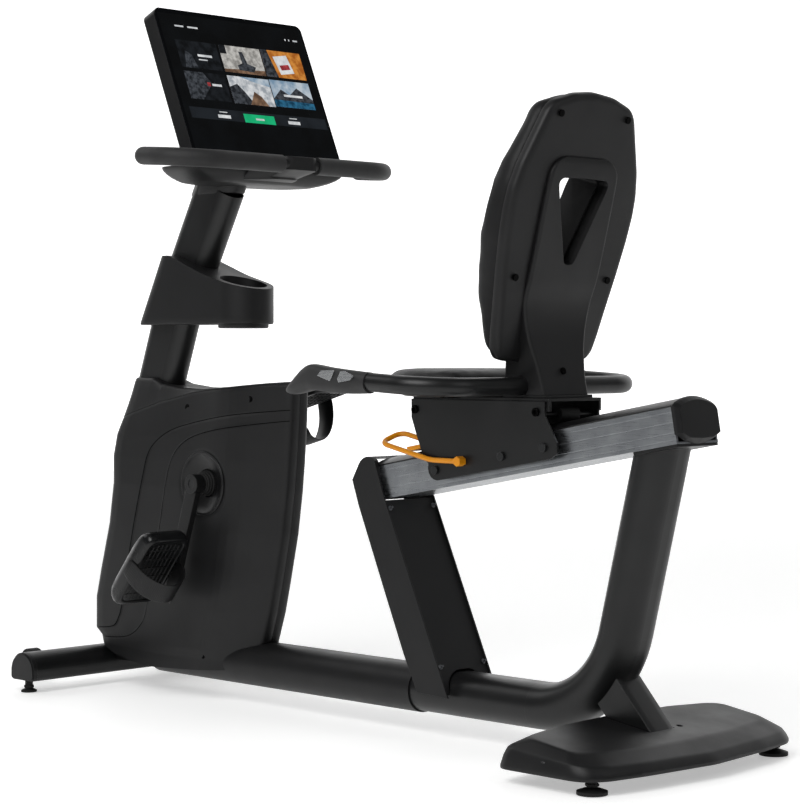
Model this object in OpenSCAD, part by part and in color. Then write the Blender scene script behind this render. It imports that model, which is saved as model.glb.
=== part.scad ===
// Recumbent exercise bike. Lengths are in millimetres and angles in degrees.
// X is to the rider's left, Z is up, and the rider faces -Y.
// Places along the bike are first measured from the front feet; from_feet() centres them.

/* [Overall] */
// Distance between the front feet and the rear feet
wheelbase = 1488; // [1480:1:1496]
// Distance of each foot from the centre plane
foot_track = 241; // [238:1:244]
// Length of the left and right half of the front stabilizer
stabilizer_half = 250; // [249:1:252]

/* [Frame] */
// Height of the lower beam's centre
beam_z = 77; // [76:1:78]
// Depth of the oval frame tube
tube_depth = 80; // [79:1:81]
// Width of the oval frame tube
tube_width = 98; // [96:1:100]
// Wall of the frame tube
tube_wall = 3; // [2.5:0.5:4]
// Radius of the tube's centre line where it turns up
bend_r = 190; // [188:1:192]
// Angle by which the upright leans back
upright_lean = 13.9; // [13.5:0.1:14.3]

/* [Rail] */
// Slope of the seat rail
rail_slope = 10.2; // [10:0.1:10.4]
// Half the width of the rail
rail_half = 55; // [54:0.5:55.5]
// Half the height of the rail's sides
rail_side = 31.5; // [31:0.5:32]

/* [Crank] */
// Length of a crank arm between its two axes
crank_length = 172; // [168:1:174]
// Angle of the left crank arm ahead of straight down
crank_angle = 16; // [14:1:18]
// Radius of the large belt pulley
pulley_r = 92; // [90:1:94]
// Radius of the small pulley on the flywheel
small_pulley_r = 20; // [19:1:21]

/* [Pedals] */
// Length of a pedal along the foot
pedal_length = 166; // [160:1:170]
// Width of a pedal
pedal_width = 100; // [98:1:102]
// Slope of the left pedal's sole above level
left_pedal_tilt = 50; // [48:1:52]

/* [Mast] */
// Depth of the mast's oval section
mast_depth = 115; // [113:1:116]
// Width of the mast's oval section
mast_width = 58; // [57:1:59]
// Angle by which the lower mast leans back
mast_lean = 20.5; // [20:0.1:21]

/* [Screen] */
// Width of the screen
screen_w = 382; // [378:1:386]
// Height of the screen along its face
screen_h = 336; // [333:1:338]
// Angle by which the screen leans back
screen_lean = 23.2; // [22.8:0.1:23.6]

/* [Seat] */
// Angle by which the backrest leans back
recline = 15; // [14.5:0.1:15.5]
// Half the width of the seat cushion
seat_half = 175; // [170:1:178]
// Distance of each seat handle from the centre plane
seat_handle_x = 275; // [272:1:278]
// Travel of the seat towards the rear
seat_back_travel = 150; // [100:5:180]

/* [Hidden] */
$fn = 64;

black_paint = "#1b1c1e";
black_plastic = "#202123";
soft_black = "#18191a";
steel = "#9a9da1";
alloy = "#c4c6c8";
amber = "#e8980f";

front_end = -99;
rear_end = 1550;
mid_y = (front_end + rear_end) / 2;

beam_front = 140;
bend_start = 1175;
rail_y = 829;
rail_z = 453;
rail_start = -14;
rail_end = 684;
crown_rise = 14;
crown_r = (pow(rail_half, 2) + pow(crown_rise, 2)) / (2 * crown_rise);
strip_t = 2.5;
crank_y = 342;
crank_z = 430;
fly_y = 186;
fly_z = 268;
belt_x = -46;
belt_w = 14;
shell = 3;
gap = 0.3;
run = 0.05;
mast_foot = [76.2, 480];
mast_run = 290;
mast_bend_r = 500;
mast_bend = 8.5;
screen_y = 475;
screen_z = 1045;
screen_t = 42;
back_y = 1220;
back_z = 815;
lever_y = 1050;
lever_z = 499.5;
plate_x = 68;
plate_t = 4;
front_roller = [985, 543.2, 15];
rear_roller = [1225, 584.2, 13];
pedal_in = 112;
spindle_r = 6.5;
wheel_x = 181;
wheel_y = -70;
wheel_z = 47;
wheel_r = 29;

// ---------- shared shapes ----------

// Moves what is measured from the front feet to the part's own frame
module from_feet() { translate([0, -mid_y, 0]) children(); }

// Draws an outline of [y, z] points, extruded along X from x0 to x1
module profile(x0, x1) { translate([x0, 0, 0]) rotate([90, 0, 90]) linear_extrude(x1 - x0) children(); }

// A cylinder along X
module axle(r, x0, x1, y, z) { translate([x0, y, z]) rotate([0, 90, 0]) cylinder(h = x1 - x0, r = r); }

// Points of an arc about c
function arc(c, r, a0, a1, n = 8) =
  [for (i = [0:n]) let (a = a0 + (a1 - a0) * i / n) [c[0] + r * cos(a), c[1] + r * sin(a)]];

// Points of part of an ellipse about c
function ellipse(c, rx, ry, a0, a1, n = 16) =
  [for (i = [0:n]) let (a = a0 + (a1 - a0) * i / n) [c[0] + rx * cos(a), c[1] + ry * sin(a)]];

// Adds the mirror image of points on the +X side, so that the outline closes
function both_sides(p) = concat(p, [for (i = [len(p) - 1:-1:0]) [-p[i][0], p[i][1]]]);

// A flat-sided oval, d deep along X and w wide along Y
module oval(d, w) {
  square([d, w - d], center = true);
  for (s = [-1, 1]) translate([0, s * (w - d) / 2]) circle(d / 2);
}

// An oval that is longer along X
module long_oval(d, w) { rotate(90) oval(w, d); }

// A tube from a bender's table of [straight, bend radius, bend angle, roll], starting along Z.
// Each section is a hair larger than the one before and laps it, as a swaged joint does.
module bent(steps, i = 0, swell = 1.002) {
  straight = steps[i][0];
  radius = steps[i][1];
  angle = steps[i][2];
  lap = i > 0 ? 0.6 : 0;
  swage = pow(swell, 2 * i);
  translate([0, 0, -lap]) linear_extrude(straight + lap) scale(swage) children();
  if (angle > 0)
    translate([0, 0, straight]) rotate([0, 0, steps[i][3]]) {
      translate([radius, 0, 0]) rotate([90, 0, 180])
        rotate_extrude(angle = angle) translate([radius, 0]) scale(swage * swell) children();
      if (i < len(steps) - 1)
        translate([radius, 0, 0]) rotate([0, angle, 0]) translate([-radius, 0, 0])
          bent(steps, i + 1, swell) children();
    }
}

// A thin slab of an outline in plan, as one station of a hull
module slab(z, t = 0.5) { translate([0, 0, z]) linear_extrude(t) children(); }

// The rail's own frame: Y along the rail and Z square to its top
module on_rail() { translate([0, rail_y, rail_z]) rotate([rail_slope, 0, 0]) children(); }

// The backrest's own frame: Y up along its rear face and Z towards the rear
module on_back() { translate([0, back_y, back_z]) rotate([90 + recline, 0, 180]) children(); }

// The screen's own frame: Y up along the face and Z towards the rider
module on_screen() { translate([0, screen_y, screen_z]) rotate([90 - screen_lean, 0, 180]) children(); }

// A left piece and its mirror image
module pair() {
  children();
  mirror([1, 0, 0]) children();
}

// ---------- frame ----------

frame_steps = [[bend_start - beam_front, bend_r, 90 - upright_lean, 0], [335, 0, 0, 0]];

module frame_solid(extra = 0) {
  translate([0, beam_front, beam_z]) rotate([-90, -90, 0])
    bent(frame_steps) oval(tube_depth + 2 * extra, tube_width + 2 * extra);
}

// The D-shaped section of the front stabilizer, as [y, z] points
function stabilizer_outline(inset = 0) = concat(
  arc([-1.5, 42], 38 - inset, 0, 180, 24),
  arc([-32.5, 31], 7 - inset, 180, 270, 4),
  arc([29.5, 31], 7 - inset, 270, 360, 4));

module main_frame() {
  color(black_paint) from_feet() {
    difference() {
      translate([0, beam_front, beam_z]) rotate([-90, -90, 0]) bent(frame_steps) difference() {
        oval(tube_depth, tube_width);
        oval(tube_depth - 2 * tube_wall, tube_width - 2 * tube_wall);
      }
      on_rail() translate([-100, 400, -rail_side - 4]) cube([200, 500, 200]);
    }
    // closed front end of the beam
    translate([0, beam_front - 3, beam_z]) rotate([-90, -90, 0]) linear_extrude(5) oval(tube_depth - 2, tube_width - 2);
    // flat neck that joins the beam to the stabilizer
    difference() {
      translate([-44, 20, 50]) cube([88, beam_front - 22, 26]);
      profile(-60, 60) polygon(stabilizer_outline());
      translate([-41, 10, 53]) cube([82, beam_front - 15, 20]);
    }
    foot_bracket();
    rail_bracket();
  }
}

// Channel that carries the bend of the frame tube down to the rear cross member
module foot_bracket() {
  difference() {
    translate([0, 1326, 142]) rotate([-138, 0, 0]) difference() {
      translate([-31, -30, 0]) cube([62, 60, 170]);
      translate([-27, -40, -1]) cube([54, 66, 172]);
    }
    frame_solid(-1.5);
    translate([-50, 1300, -100]) cube([100, 300, 137]);
  }
}

// Plate on top of the upright that the rail is bolted to
module rail_bracket() {
  on_rail() difference() {
    translate([-54, 592, -rail_side - 5]) cube([108, rail_end - 592 - gap, 5]);
    for (x = [-40, 40], y = [606, 668]) translate([x, y, -50]) cylinder(h = 30, r = 4.2);
  }
}

module front_stabilizer() {
  color(black_paint) from_feet() difference() {
    union() {
      difference() {
        profile(-stabilizer_half, stabilizer_half) polygon(stabilizer_outline());
        profile(-stabilizer_half - 1, stabilizer_half + 1) polygon(stabilizer_outline(2.5));
      }
      // threaded bushes for the feet
      pair() translate([foot_track, 0, 25]) cylinder(h = 36, r = 13);
      // lugs that hold the transport wheels
      pair() for (x = [wheel_x - 17, wheel_x + 13]) difference() {
        profile(x, x + 4) polygon(concat(arc([wheel_y, wheel_z], 11, 100, 260), [[-34, 32], [-34, 66]]));
        profile(x - 1, x + 5) polygon(stabilizer_outline(1.2));
      }
    }
    pair() translate([foot_track, 0, 20]) cylinder(h = 36, r = 8 + run);
    pair() axle(5, wheel_x - 20, wheel_x + 20, wheel_y, wheel_z);
    pair() translate([stabilizer_half - 4, -40, 20]) cube([10, 80, 70]);
  }
}

module stabilizer_end_caps() {
  color(black_plastic) from_feet() pair() {
    difference() {
      profile(stabilizer_half - 4, stabilizer_half + 5) polygon(stabilizer_outline());
      translate([foot_track, 0, 20]) cylinder(h = 36, r = 8.6);
    }
    profile(stabilizer_half + 5, stabilizer_half + 8) polygon(stabilizer_outline(2.5));
  }
}

module levelling_foot(y, pad_r, pad_h, stem_r, top) {
  translate([foot_track, y, 0]) {
    cylinder(h = pad_h * 0.5, r = pad_r);
    translate([0, 0, pad_h * 0.5]) cylinder(h = pad_h * 0.5, r1 = pad_r, r2 = stem_r + 1);
    translate([0, 0, pad_h]) cylinder(h = top - pad_h, r = stem_r);
    // lock nut
    translate([0, 0, pad_h + 2]) cylinder(h = 4, r = stem_r + 3, $fn = 6);
  }
}

module front_foot() { color(soft_black) from_feet() levelling_foot(0, 16, 7, 8, 50); }

module rear_foot() { color(soft_black) from_feet() levelling_foot(wheelbase, 25, 11, 8.5, 34); }

module foot_front_left() { front_foot(); }

module foot_front_right() { mirror([1, 0, 0]) front_foot(); }

module foot_rear_left() { rear_foot(); }

module foot_rear_right() { mirror([1, 0, 0]) rear_foot(); }

module rear_cross_member() {
  color(black_paint) from_feet() difference() {
    union() {
      slab(24, 7) polygon(both_sides([[0, 1454], [254, 1454], [254, 1491], [244, 1499], [228, 1507],
        [0, 1510]]));
      translate([-40, 1385, 24]) cube([80, 70, 13]);
    }
    pair() translate([foot_track, wheelbase, 20]) cylinder(h = 20, r = 8.5 + run);
  }
}

function foot_cover_base(i = 0) = both_sides([
  [0, 1302 + i], [150, 1304 + i], [250, 1311 + i], [270 - i, 1318 + i], [277 - i, 1332 + i],
  [277 - i, 1480 - i], [265 - i, 1504 - i], [237 - i, 1520 - i], [160, 1534 - i], [0, 1550 - i]]);

function foot_cover_top(i = 0) = both_sides([
  [0, -36 + i], [140, -30 + i], [230 - i, -12 + i], [250 - i, 4 + i], [252 - i, 40],
  [244 - i, 92 - i], [226 - i, 106 - i], [120, 122 - i], [0, 128 - i]]);

module foot_cover_solid(i = 0) {
  hull() {
    slab(i > 0 ? 16 : 22, 8) polygon(foot_cover_base(i));
    translate([0, 1368, 75]) rotate([-8.1, 0, 0]) translate([0, 0, -0.5 - i])
      linear_extrude(0.5) polygon(foot_cover_top(i));
  }
}

module foot_cover() {
  color(black_plastic) from_feet() difference() {
    foot_cover_solid();
    foot_cover_solid(shell);
    translate([-33, 1340, 10]) cube([66, 101, 100]);
    translate([-52, 1432, 40]) cylinder(h = 60, r = 4);
    pair() translate([foot_track, wheelbase, 0]) cylinder(h = 38.5, r = 9.5);
  }
}

// ---------- pillar ----------

rear_slope = atan(0.4606);

// Side outline of the pillar cover, as [y, z] points
pillar_outline = concat(
  [[931, 80], [1007, 77], [846, 428], [822, 492]],
  arc([806, 470], 29, 75, 150, 6), [[764, 455], [780, 410], [839, 276], [897, 146]]);

module rail_envelope(extra) {
  on_rail()
    translate([-rail_half - extra, -120, -rail_side - extra])
      cube([2 * (rail_half + extra), 900, 2 * rail_side + crown_rise + 2 * extra]);
}

module pillar_post() {
  color(black_paint) from_feet() difference() {
    profile(-36, 36) polygon([[924, 100], [962, 100], [841, 418], [796, 418]]);
    profile(-33, 33) polygon([[928, 90], [958, 90], [833, 430], [800, 430]]);
    frame_solid();
    rail_envelope(0);
  }
}

module pillar_cover() {
  color(black_plastic) from_feet() difference() {
    profile(-65, 65) polygon(pillar_outline);
    // hollow inside, open to the rear
    profile(-62, 62) polygon([[936, 60], [1040, 50], [850, 440], [822, 478], [800, 484], [782, 476],
      [769, 456], [785, 410], [844, 276], [902, 146]]);
    rail_envelope(gap);
    frame_solid(4);
  }
}

module pillar_rear_panel() {
  color(black_plastic) from_feet() difference() {
    profile(-61.5, 61.5) polygon([[997, 82], [1001, 82], [846, 420], [842, 420]]);
    frame_solid(4);
    rail_envelope(gap);
    for (x = [-56, 56], p = [[851, 405], [978, 128]])
      translate([x, p[0], p[1]]) rotate([-90 + rear_slope, 0, 0]) cylinder(h = 30, r = 2.1, center = true);
  }
}

// ---------- rail ----------

function crown(r_less, n = 16) =
  let (half = asin(rail_half / crown_r))
  arc([0, rail_side + crown_rise - crown_r], crown_r - r_less, 90 - half, 90 + half, n);

module rail_section() {
  difference() {
    polygon(concat(crown(strip_t), [[-rail_half, -rail_side], [rail_half, -rail_side]]));
    // two chambers and the T-slots in the sides
    for (s = [-1, 1]) translate([s * 27, -1]) square([46, 54], center = true);
    for (s = [-1, 1], z = [20, 3.5, -13.5, -25]) translate([s * rail_half, z]) square([2.4, 1.6], center = true);
  }
}

module seat_rail() {
  color(alloy) from_feet() on_rail() translate([0, rail_end, 0]) rotate([90, 0, 0])
    linear_extrude(rail_end - rail_start) rail_section();
}

module rail_top_strip() {
  color(black_plastic) from_feet() on_rail() translate([0, rail_end, 0]) rotate([90, 0, 0])
    linear_extrude(rail_end - rail_start)
      polygon(concat(crown(0), [for (i = [16:-1:0]) crown(strip_t)[i]]));
}

// Outline of the end cap's face, as [x, z] points
function cap_outline(i) = both_sides(concat(
  [for (a = [90:-6:66]) [(crown_r + 1 - i) * cos(a), rail_side + crown_rise - crown_r + (crown_r + 1 - i) * sin(a)]],
  [[rail_half + 2.5 - i, 30 - i], [rail_half + 2.5 - i, -16], [38 - i, -26 + i * 0.3], [16, -32 + i], [0, -33 + i]]));

module rail_end_cap() {
  color(black_plastic) from_feet() on_rail() hull() {
    translate([0, rail_end + 1, 0]) rotate([90, 0, 0]) linear_extrude(1) polygon(cap_outline(0));
    translate([0, rail_end + 5, 0]) rotate([90, 0, 0]) linear_extrude(1) polygon(cap_outline(2));
    translate([0, rail_end + 12, 0]) rotate([90, 0, 0]) linear_extrude(1) polygon(cap_outline(8));
  }
}

// ---------- beam cover and housing ----------

module beam_cover() {
  color(black_plastic) from_feet() difference() {
    intersection() {
      frame_solid(3);
      translate([-80, 150, 0]) cube([160, 745, 200]);
    }
    frame_solid();
    // slot along the top where the post and the drive frame come down
    translate([-38, 140, 90]) cube([76, 300, 60]);
  }
}

// Plan of the housing at one height: front, rear and half width
function housing_plan(front, rear, half, i = 0) = both_sides(concat(
  [[0, front + i]],
  arc([half - 30, front + 30], 30 - i, -85, 0, 6),
  [[half - i, rear - 165], [half * 0.78 - i, rear - 95], [30 - i, rear - 14 - i],
   [26 - i, rear - 5 - i], [12, rear - i], [0, rear - i]]));

// Stations of the housing: height, front, rear, half width
housing_stations = [
  [56, -2, 458, 68], [102, -2, 464, 70], [114, -23, 467, 70], [180, -21, 489, 71],
  [330, 27, 526, 72], [475, 41, 545, 72], [551, 60, 549, 70], [634, 68, 554, 62]];

module housing_solid(i = 0) {
  for (k = [0:len(housing_stations) - 2]) {
    a = housing_stations[k];
    b = housing_stations[k + 1];
    hull() {
      slab(a[0] - (k == 0 ? i : 0), 0.5) polygon(housing_plan(a[1], a[2], a[3], i));
      slab(b[0] - (k == len(housing_stations) - 2 ? i : 0)) polygon(housing_plan(b[1], b[2], b[3], i));
    }
  }
}

// Everything above the housing's slanted top seam
module above_seam() {
  profile(-100, 100)
    polygon([[-60, 566], [60, 584], [180, 612], [340, 626], [620, 631], [620, 760], [-60, 760]]);
}

module housing_shell() {
  difference() {
    housing_solid();
    housing_solid(shell);
    above_seam();
    frame_solid(4);
    profile(-80, 80) polygon(stabilizer_outline());
    axle(62, -100, 100, crank_y, crank_z);
    translate([-80, -60, 0]) cube([160, 400, 56]);
    // clearance for the flat neck
    translate([-50, -60, 40]) cube([100, 300, 42]);
    // curved cut over the beam at the lower rear
    translate([0, 470, 40]) rotate([0, 90, 0]) cylinder(h = 300, r = 66, center = true);
  }
}

module housing_left() {
  color(black_plastic) from_feet() intersection() {
    housing_shell();
    translate([0, -60, 0]) cube([100, 700, 700]);
  }
}

module housing_right() {
  color(black_plastic) from_feet() intersection() {
    housing_shell();
    translate([-100, -60, 0]) cube([100, 700, 700]);
  }
}

module mast_solid(extra = 0) {
  translate([0, mast_foot[0], mast_foot[1]]) rotate([-mast_lean, 0, 0]) rotate([0, 0, 90])
    bent([[mast_run, mast_bend_r, mast_bend, 0], [232, 0, 0, 0]])
      long_oval(mast_depth + 2 * extra, mast_width + 2 * extra);
}

module top_shroud() {
  color(black_plastic) from_feet() difference() {
    intersection() {
      hull() {
        housing_solid();
        translate([0, 0, 634]) linear_extrude(2) polygon(housing_plan(66, 554, 40));
      }
      above_seam();
    }
    intersection() {
      housing_solid(shell);
      translate([-100, -60, 0]) cube([200, 700, 631]);
    }
    mast_solid(0.2);
    // saddle behind the mast
    translate([0, 330, 1104]) rotate([0, 90, 0]) cylinder(h = 300, r = 482, center = true, $fn = 160);
  }
}

// ---------- drive ----------

module drive_frame() {
  color(black_paint) from_feet() difference() {
    union() {
      // post from the beam to the crank bearing
      translate([-20, 322, 112]) cube([40, 36, 300]);
      axle(26, -34, 34, crank_y, crank_z);
      // arm that carries the mast
      profile(-20, 20) polygon([[322, 405], [340, 455], [140, 560], [112, 530]]);
      // side plates that hold the flywheel's axle
      for (x = [-62, 30]) profile(x, x + 4)
        polygon(concat([[358, 232], [358, 300]], arc([fly_y, fly_z], 16, 80, 280)));
      translate([-58, 322, 232]) cube([38, 36, 68]);
      translate([20, 322, 232]) cube([10, 36, 68]);
    }
    axle(17.5, -60, 60, crank_y, crank_z);
    axle(6, -70, 60, fly_y, fly_z);
    frame_solid();
    mast_solid();
  }
}

module crank_bearings() {
  color(steel) from_feet() for (x = [-34, 22]) difference() {
    axle(17.5, x, x + 12, crank_y, crank_z);
    axle(8.5 + run, x - 1, x + 13, crank_y, crank_z);
  }
}

// Dished discs that close the housing round the crank
module crank_covers() {
  color(black_plastic) from_feet() pair() translate([0, crank_y, crank_z]) rotate([0, 90, 0])
    rotate_extrude() polygon([[27, 56], [33, 56], [58, 67], [61.8, 67], [61.8, 73], [57, 73], [31, 60], [27, 60]]);
}

module crank_axle() {
  color(steel) from_feet() axle(8.5, -98, 98, crank_y, crank_z);
}

// One crank arm on the +X side, pointing down
module crank_arm() {
  difference() {
    union() {
      rotate([0, 90, 0]) cylinder(h = 21, r = 19);
      hull() {
        translate([5, 0, -16]) rotate([0, 90, 0]) cylinder(h = 13, r = 15, $fn = 32);
        translate([11, 0, -crank_length]) rotate([0, 90, 0]) cylinder(h = 13, r = 14, $fn = 32);
      }
    }
    translate([-1, 0, 0]) rotate([0, 90, 0]) cylinder(h = 30, r = 8.5);
    translate([-1, 0, -crank_length]) rotate([0, 90, 0]) cylinder(h = 40, r = spindle_r);
  }
}

// The end of the crank arm that is turned on from the left arm by turn
module crank_end(turn) {
  translate([0, crank_y, crank_z]) rotate([turn - crank_angle, 0, 0])
    translate([0, 0, -crank_length]) children();
}

// Spindle screwed into the arm, on the +X side
module spindle() {
  axle(spindle_r, 88, 205, 0, 0);
}

module crank_arm_left() {
  color(black_paint) from_feet() {
    translate([78, crank_y, crank_z]) rotate([-crank_angle, 0, 0]) crank_arm();
    crank_end(0) spindle();
  }
}

module crank_arm_right() {
  color(black_paint) from_feet() mirror([1, 0, 0]) {
    translate([78, crank_y, crank_z]) rotate([180 - crank_angle, 0, 0]) crank_arm();
    crank_end(180) spindle();
  }
}

module drive_pulley() {
  color(black_plastic) from_feet() difference() {
    union() {
      axle(pulley_r, belt_x - belt_w / 2, belt_x + belt_w / 2, crank_y, crank_z);
      axle(16, -58, -39, crank_y, crank_z);
    }
    axle(8.5, -70, 0, crank_y, crank_z);
    for (a = [0:60:300]) translate([0, crank_y, crank_z]) rotate([a, 0, 0]) axle(18, -70, 0, 0, 54);
  }
}

module drive_belt() {
  color(soft_black) from_feet() translate([belt_x, 0, 0]) profile(-5, 5) difference() {
    hull() {
      translate([crank_y, crank_z]) circle(pulley_r + gap + 3, $fn = 96);
      translate([fly_y, fly_z]) circle(small_pulley_r + gap + 3, $fn = 48);
    }
    hull() {
      translate([crank_y, crank_z]) circle(pulley_r + gap, $fn = 96);
      translate([fly_y, fly_z]) circle(small_pulley_r + gap, $fn = 48);
    }
  }
}

module flywheel() {
  color(steel) from_feet() difference() {
    union() {
      difference() {
        axle(112, -22, 22, fly_y, fly_z);
        axle(92, 0, 24, fly_y, fly_z);
      }
      axle(small_pulley_r, belt_x - 7, belt_x + 7, fly_y, fly_z);
      axle(12, -50, 22, fly_y, fly_z);
    }
    axle(6 + run, -60, 30, fly_y, fly_z);
  }
}

// Wound core inside the flywheel's rim, on the fixed axle
module stator() {
  color("#b5683a") from_feet() {
    difference() {
      axle(80, 4, 20, fly_y, fly_z);
      axle(14, 3, 21, fly_y, fly_z);
      for (a = [0:20:340]) translate([0, fly_y, fly_z]) rotate([a, 0, 0])
        translate([3, -3, 60]) cube([18, 6, 30]);
    }
    axle(6, -62, 34, fly_y, fly_z);
    difference() {
      axle(14, 22.4, 29.6, fly_y, fly_z);
      axle(6, 22, 30, fly_y, fly_z);
    }
  }
}

// ---------- mast and console ----------

module mast() {
  color(black_paint) from_feet() difference() {
    mast_solid();
    mast_solid(-3);
    translate([-60, 150, 1036]) cube([120, 300, 100]);
    // cut away along the front of the housing
    profile(-60, 60) polygon([[-60, 380], [46, 475], [65, 551], [70, 600], [72, 625], [-60, 625]]);
    // bolt holes for the cup holder
    for (z = [790, 840]) axle(3, -40, 40, 220, z);
  }
}

module cup_holder() {
  color(black_plastic) from_feet() difference() {
    union() {
      difference() {
        hull() {
          slab(746, 1) translate([0, 160]) oval(94, 130);
          slab(884, 1) translate([0, 222]) oval(92, 114);
          translate([0, 386, 746]) cylinder(h = 130, r = 60, $fn = 32);
        }
        // sloping top of the front part
        translate([-100, 222, 878]) rotate([-20.5, 0, 0]) cube([200, 400, 200]);
        translate([-100, 60, 883]) cube([200, 400, 200]);
      }
      translate([0, 386, 746]) cylinder(h = 92, r = 60);
      translate([0, 386, 736]) cylinder(h = 12, r = 50);
    }
    translate([-100, 326, 844]) rotate([-10, 0, 0]) cube([200, 200, 100]);
    translate([0, 386, 750]) cylinder(h = 150, r = 47);
    // sleeve round the mast, held off it by ribs
    mast_solid(0.2);
  }
}

module console_base() {
  color(black_plastic) from_feet() difference() {
    union() {
      hull() {
        slab(1042, 2) polygon(both_sides([[0, 322], [150, 330], [196, 372], [203, 420], [203, 452],
          [190, 470], [0, 476]]));
        slab(1017, 1) polygon(both_sides([[0, 318], [95, 322], [150, 350], [165, 400], [160, 446], [0, 458]]));
      }
      // collar over the top of the mast
      hull() {
        slab(1043, 1) polygon(both_sides([[0, 236], [34, 240], [120, 330], [120, 420], [0, 420]]));
        translate([0, 321, 1021]) rotate([-29, 0, 0]) linear_extrude(1) oval(74, 131);
        slab(1017, 1) polygon(both_sides([[0, 380], [60, 380], [60, 420], [0, 420]]));
      }
      // block that holds the two handles
      hull() {
        slab(1036, 28) polygon(both_sides([[0, 440], [70, 440], [34, 562], [0, 562]]));
        slab(1024, 1) polygon(both_sides([[0, 440], [80, 440], [24, 520], [0, 520]]));
      }
    }
    mast_solid(0.2);
    on_screen() translate([-250, -20, -screen_t]) cube([500, 300, 200]);
    axle(12.5, -60, 60, 548, 1049);
  }
}

module screen_outline(inset) {
  w = screen_w / 2 - inset;
  h = screen_h - inset;
  r = 14 - inset / 2;
  polygon(both_sides(concat([[0, inset]], arc([w - r, inset + r], r, -90, 0, 5), arc([w - r, h - r], r, 0, 90, 5),
    [[0, h]])));
}

module screen_housing() {
  color(black_plastic) from_feet() on_screen() difference() {
    union() {
      translate([0, 0, -36]) linear_extrude(33) screen_outline(0);
      hull() {
        translate([0, 0, -36]) linear_extrude(0.5) screen_outline(0);
        translate([0, 0, -screen_t]) linear_extrude(0.5) screen_outline(7);
      }
    }
    translate([0, 0, -34]) linear_extrude(40) screen_outline(3);
  }
}

module display_panel() {
  color("#10131a") from_feet() on_screen() translate([0, 0, -14]) linear_extrude(8) screen_outline(12);
}

module screen_glass() {
  color("#08090b") from_feet() on_screen() translate([0, 0, -3]) linear_extrude(3) screen_outline(0);
}

// Frame of the left console handle: starts along +X and bends towards the front
module console_handle_start(x) {
  translate([x, 548, 1049]) rotate([-94, 0, 0]) rotate([0, 90, 0]) children();
}

module console_handles() {
  color(black_paint) from_feet() pair() console_handle_start(4)
    bent([[186, 90, 90, 0], [34, 0, 0, 0]]) difference() {
      circle(12.5);
      circle(10);
    }
}

module console_grips() {
  color(soft_black) from_feet() pair() {
    console_handle_start(46) bent([[144, 90, 90, 0], [34, 0, 0, 0]]) difference() {
      circle(17);
      circle(12.6);
    }
    // closed end
    console_handle_start(40) translate([90, 0, 150 + 90]) rotate([0, 90, 0]) translate([0, 0, 34]) difference() {
      sphere(17);
      translate([0, 0, -20]) cube(40, center = true);
    }
  }
}

// ---------- seat ----------

module carriage_channel() {
  color(black_paint) from_feet() difference() {
    translate([-plate_x, 925, 590]) cube([2 * plate_x, 322, 22]);
    translate([-plate_x + 5, 900, 580]) cube([2 * plate_x - 10, 400, 27]);
    for (x = [-45, 45], y = [1150, 1215]) translate([x, y, 600]) cylinder(h = 20, r = 4.2);
  }
}

carriage_outline = concat([[924, 607], [924, 574], [934, 549], [955, 500]], arc([987, 485], 22, 160, 272, 5),
  [[1252, 510], [1268, 520], [1267, 538], [1240, 582], [1240, 607]]);

module carriage_plates() {
  // pins across the plates that carry the two top rollers
  color(black_paint) from_feet() for (p = [front_roller, rear_roller]) axle(4, -plate_x, plate_x, p[0], p[1]);
  color(black_paint) from_feet() difference() {
    pair() profile(plate_x, plate_x + plate_t) polygon(carriage_outline);
    for (p = [[984, 481], [1142, 511], [1238, 529]]) axle(4, -90, 90, p[0], p[1]);
    axle(4 + run, 60, 90, lever_y, lever_z);
  }
}

// Low-friction pads between the plates and the rail's sides, with their bolts
module glide_pads() {
  color(steel) from_feet() pair() for (p = [[984, 481], [1142, 511], [1238, 529]]) {
    axle(13, rail_half + gap, plate_x, p[0], p[1]);
    axle(4, plate_x, plate_x + plate_t, p[0], p[1]);
    axle(7.5, plate_x + plate_t, plate_x + plate_t + 4.5, p[0], p[1]);
  }
}

module roller(place) {
  difference() {
    axle(place[2], -24, 24, place[0], place[1]);
    axle(4 + run, -30, 30, place[0], place[1]);
  }
}

module roller_front() { color(soft_black) from_feet() roller(front_roller); }

module roller_rear() { color(soft_black) from_feet() roller(rear_roller); }

// Bent rod with its hexagonal boss and the shoe that grips the rail
module adjust_lever() {
  color(amber) from_feet() {
    translate([80, lever_y - 6, lever_z]) rotate([0, 0, 180]) rotate([-90, -90, 0])
      bent([[52, 120, 12, 0], [98, 18, 90, 70], [17, 18, 90, 0], [70, 0, 0, 0]], swell = 1.005) circle(4.6);
    axle(9, plate_x + plate_t + 0.5, 88, lever_y, lever_z, $fn = 6);
    axle(4, 58, plate_x + plate_t + 1, lever_y, lever_z);
    // shoe that rests just over the rail's crown
    on_rail() translate([14, 68, rail_side + crown_rise + 0.8]) cube([32, 38, 8]);
  }
}

function seat_plan(i, back = 1128) = both_sides(concat(
  ellipse([0, 1100], seat_half - i, 265 - i, -90, 0, 14), [[seat_half - i, back]]));

module seat_pan() {
  color(black_plastic) from_feet() difference() {
    hull() {
      slab(629, 1) polygon(seat_plan(3));
      slab(612, 1) polygon(seat_plan(34));
    }
    hull() {
      slab(628, 3) polygon(seat_plan(8, 1124));
      slab(617, 1) polygon(seat_plan(38, 1124));
    }
  }
}

module seat_cushion() {
  color(soft_black) from_feet() hull() {
    slab(630, 18) polygon(seat_plan(1));
    slab(660, 1) polygon(seat_plan(24, 1120));
  }
}

// Stations of the column and spine: height, front, rear, half width
column_stations = [
  [617, 1133, 1228, 58], [662, 1136, 1217, 62], [720, 1152, 1206, 75], [772, 1172, 1208, 86],
  [815, 1190, 1222, 88], [985, 1236, 1267.5, 87], [1024, 1247, 1273, 66]];

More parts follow.
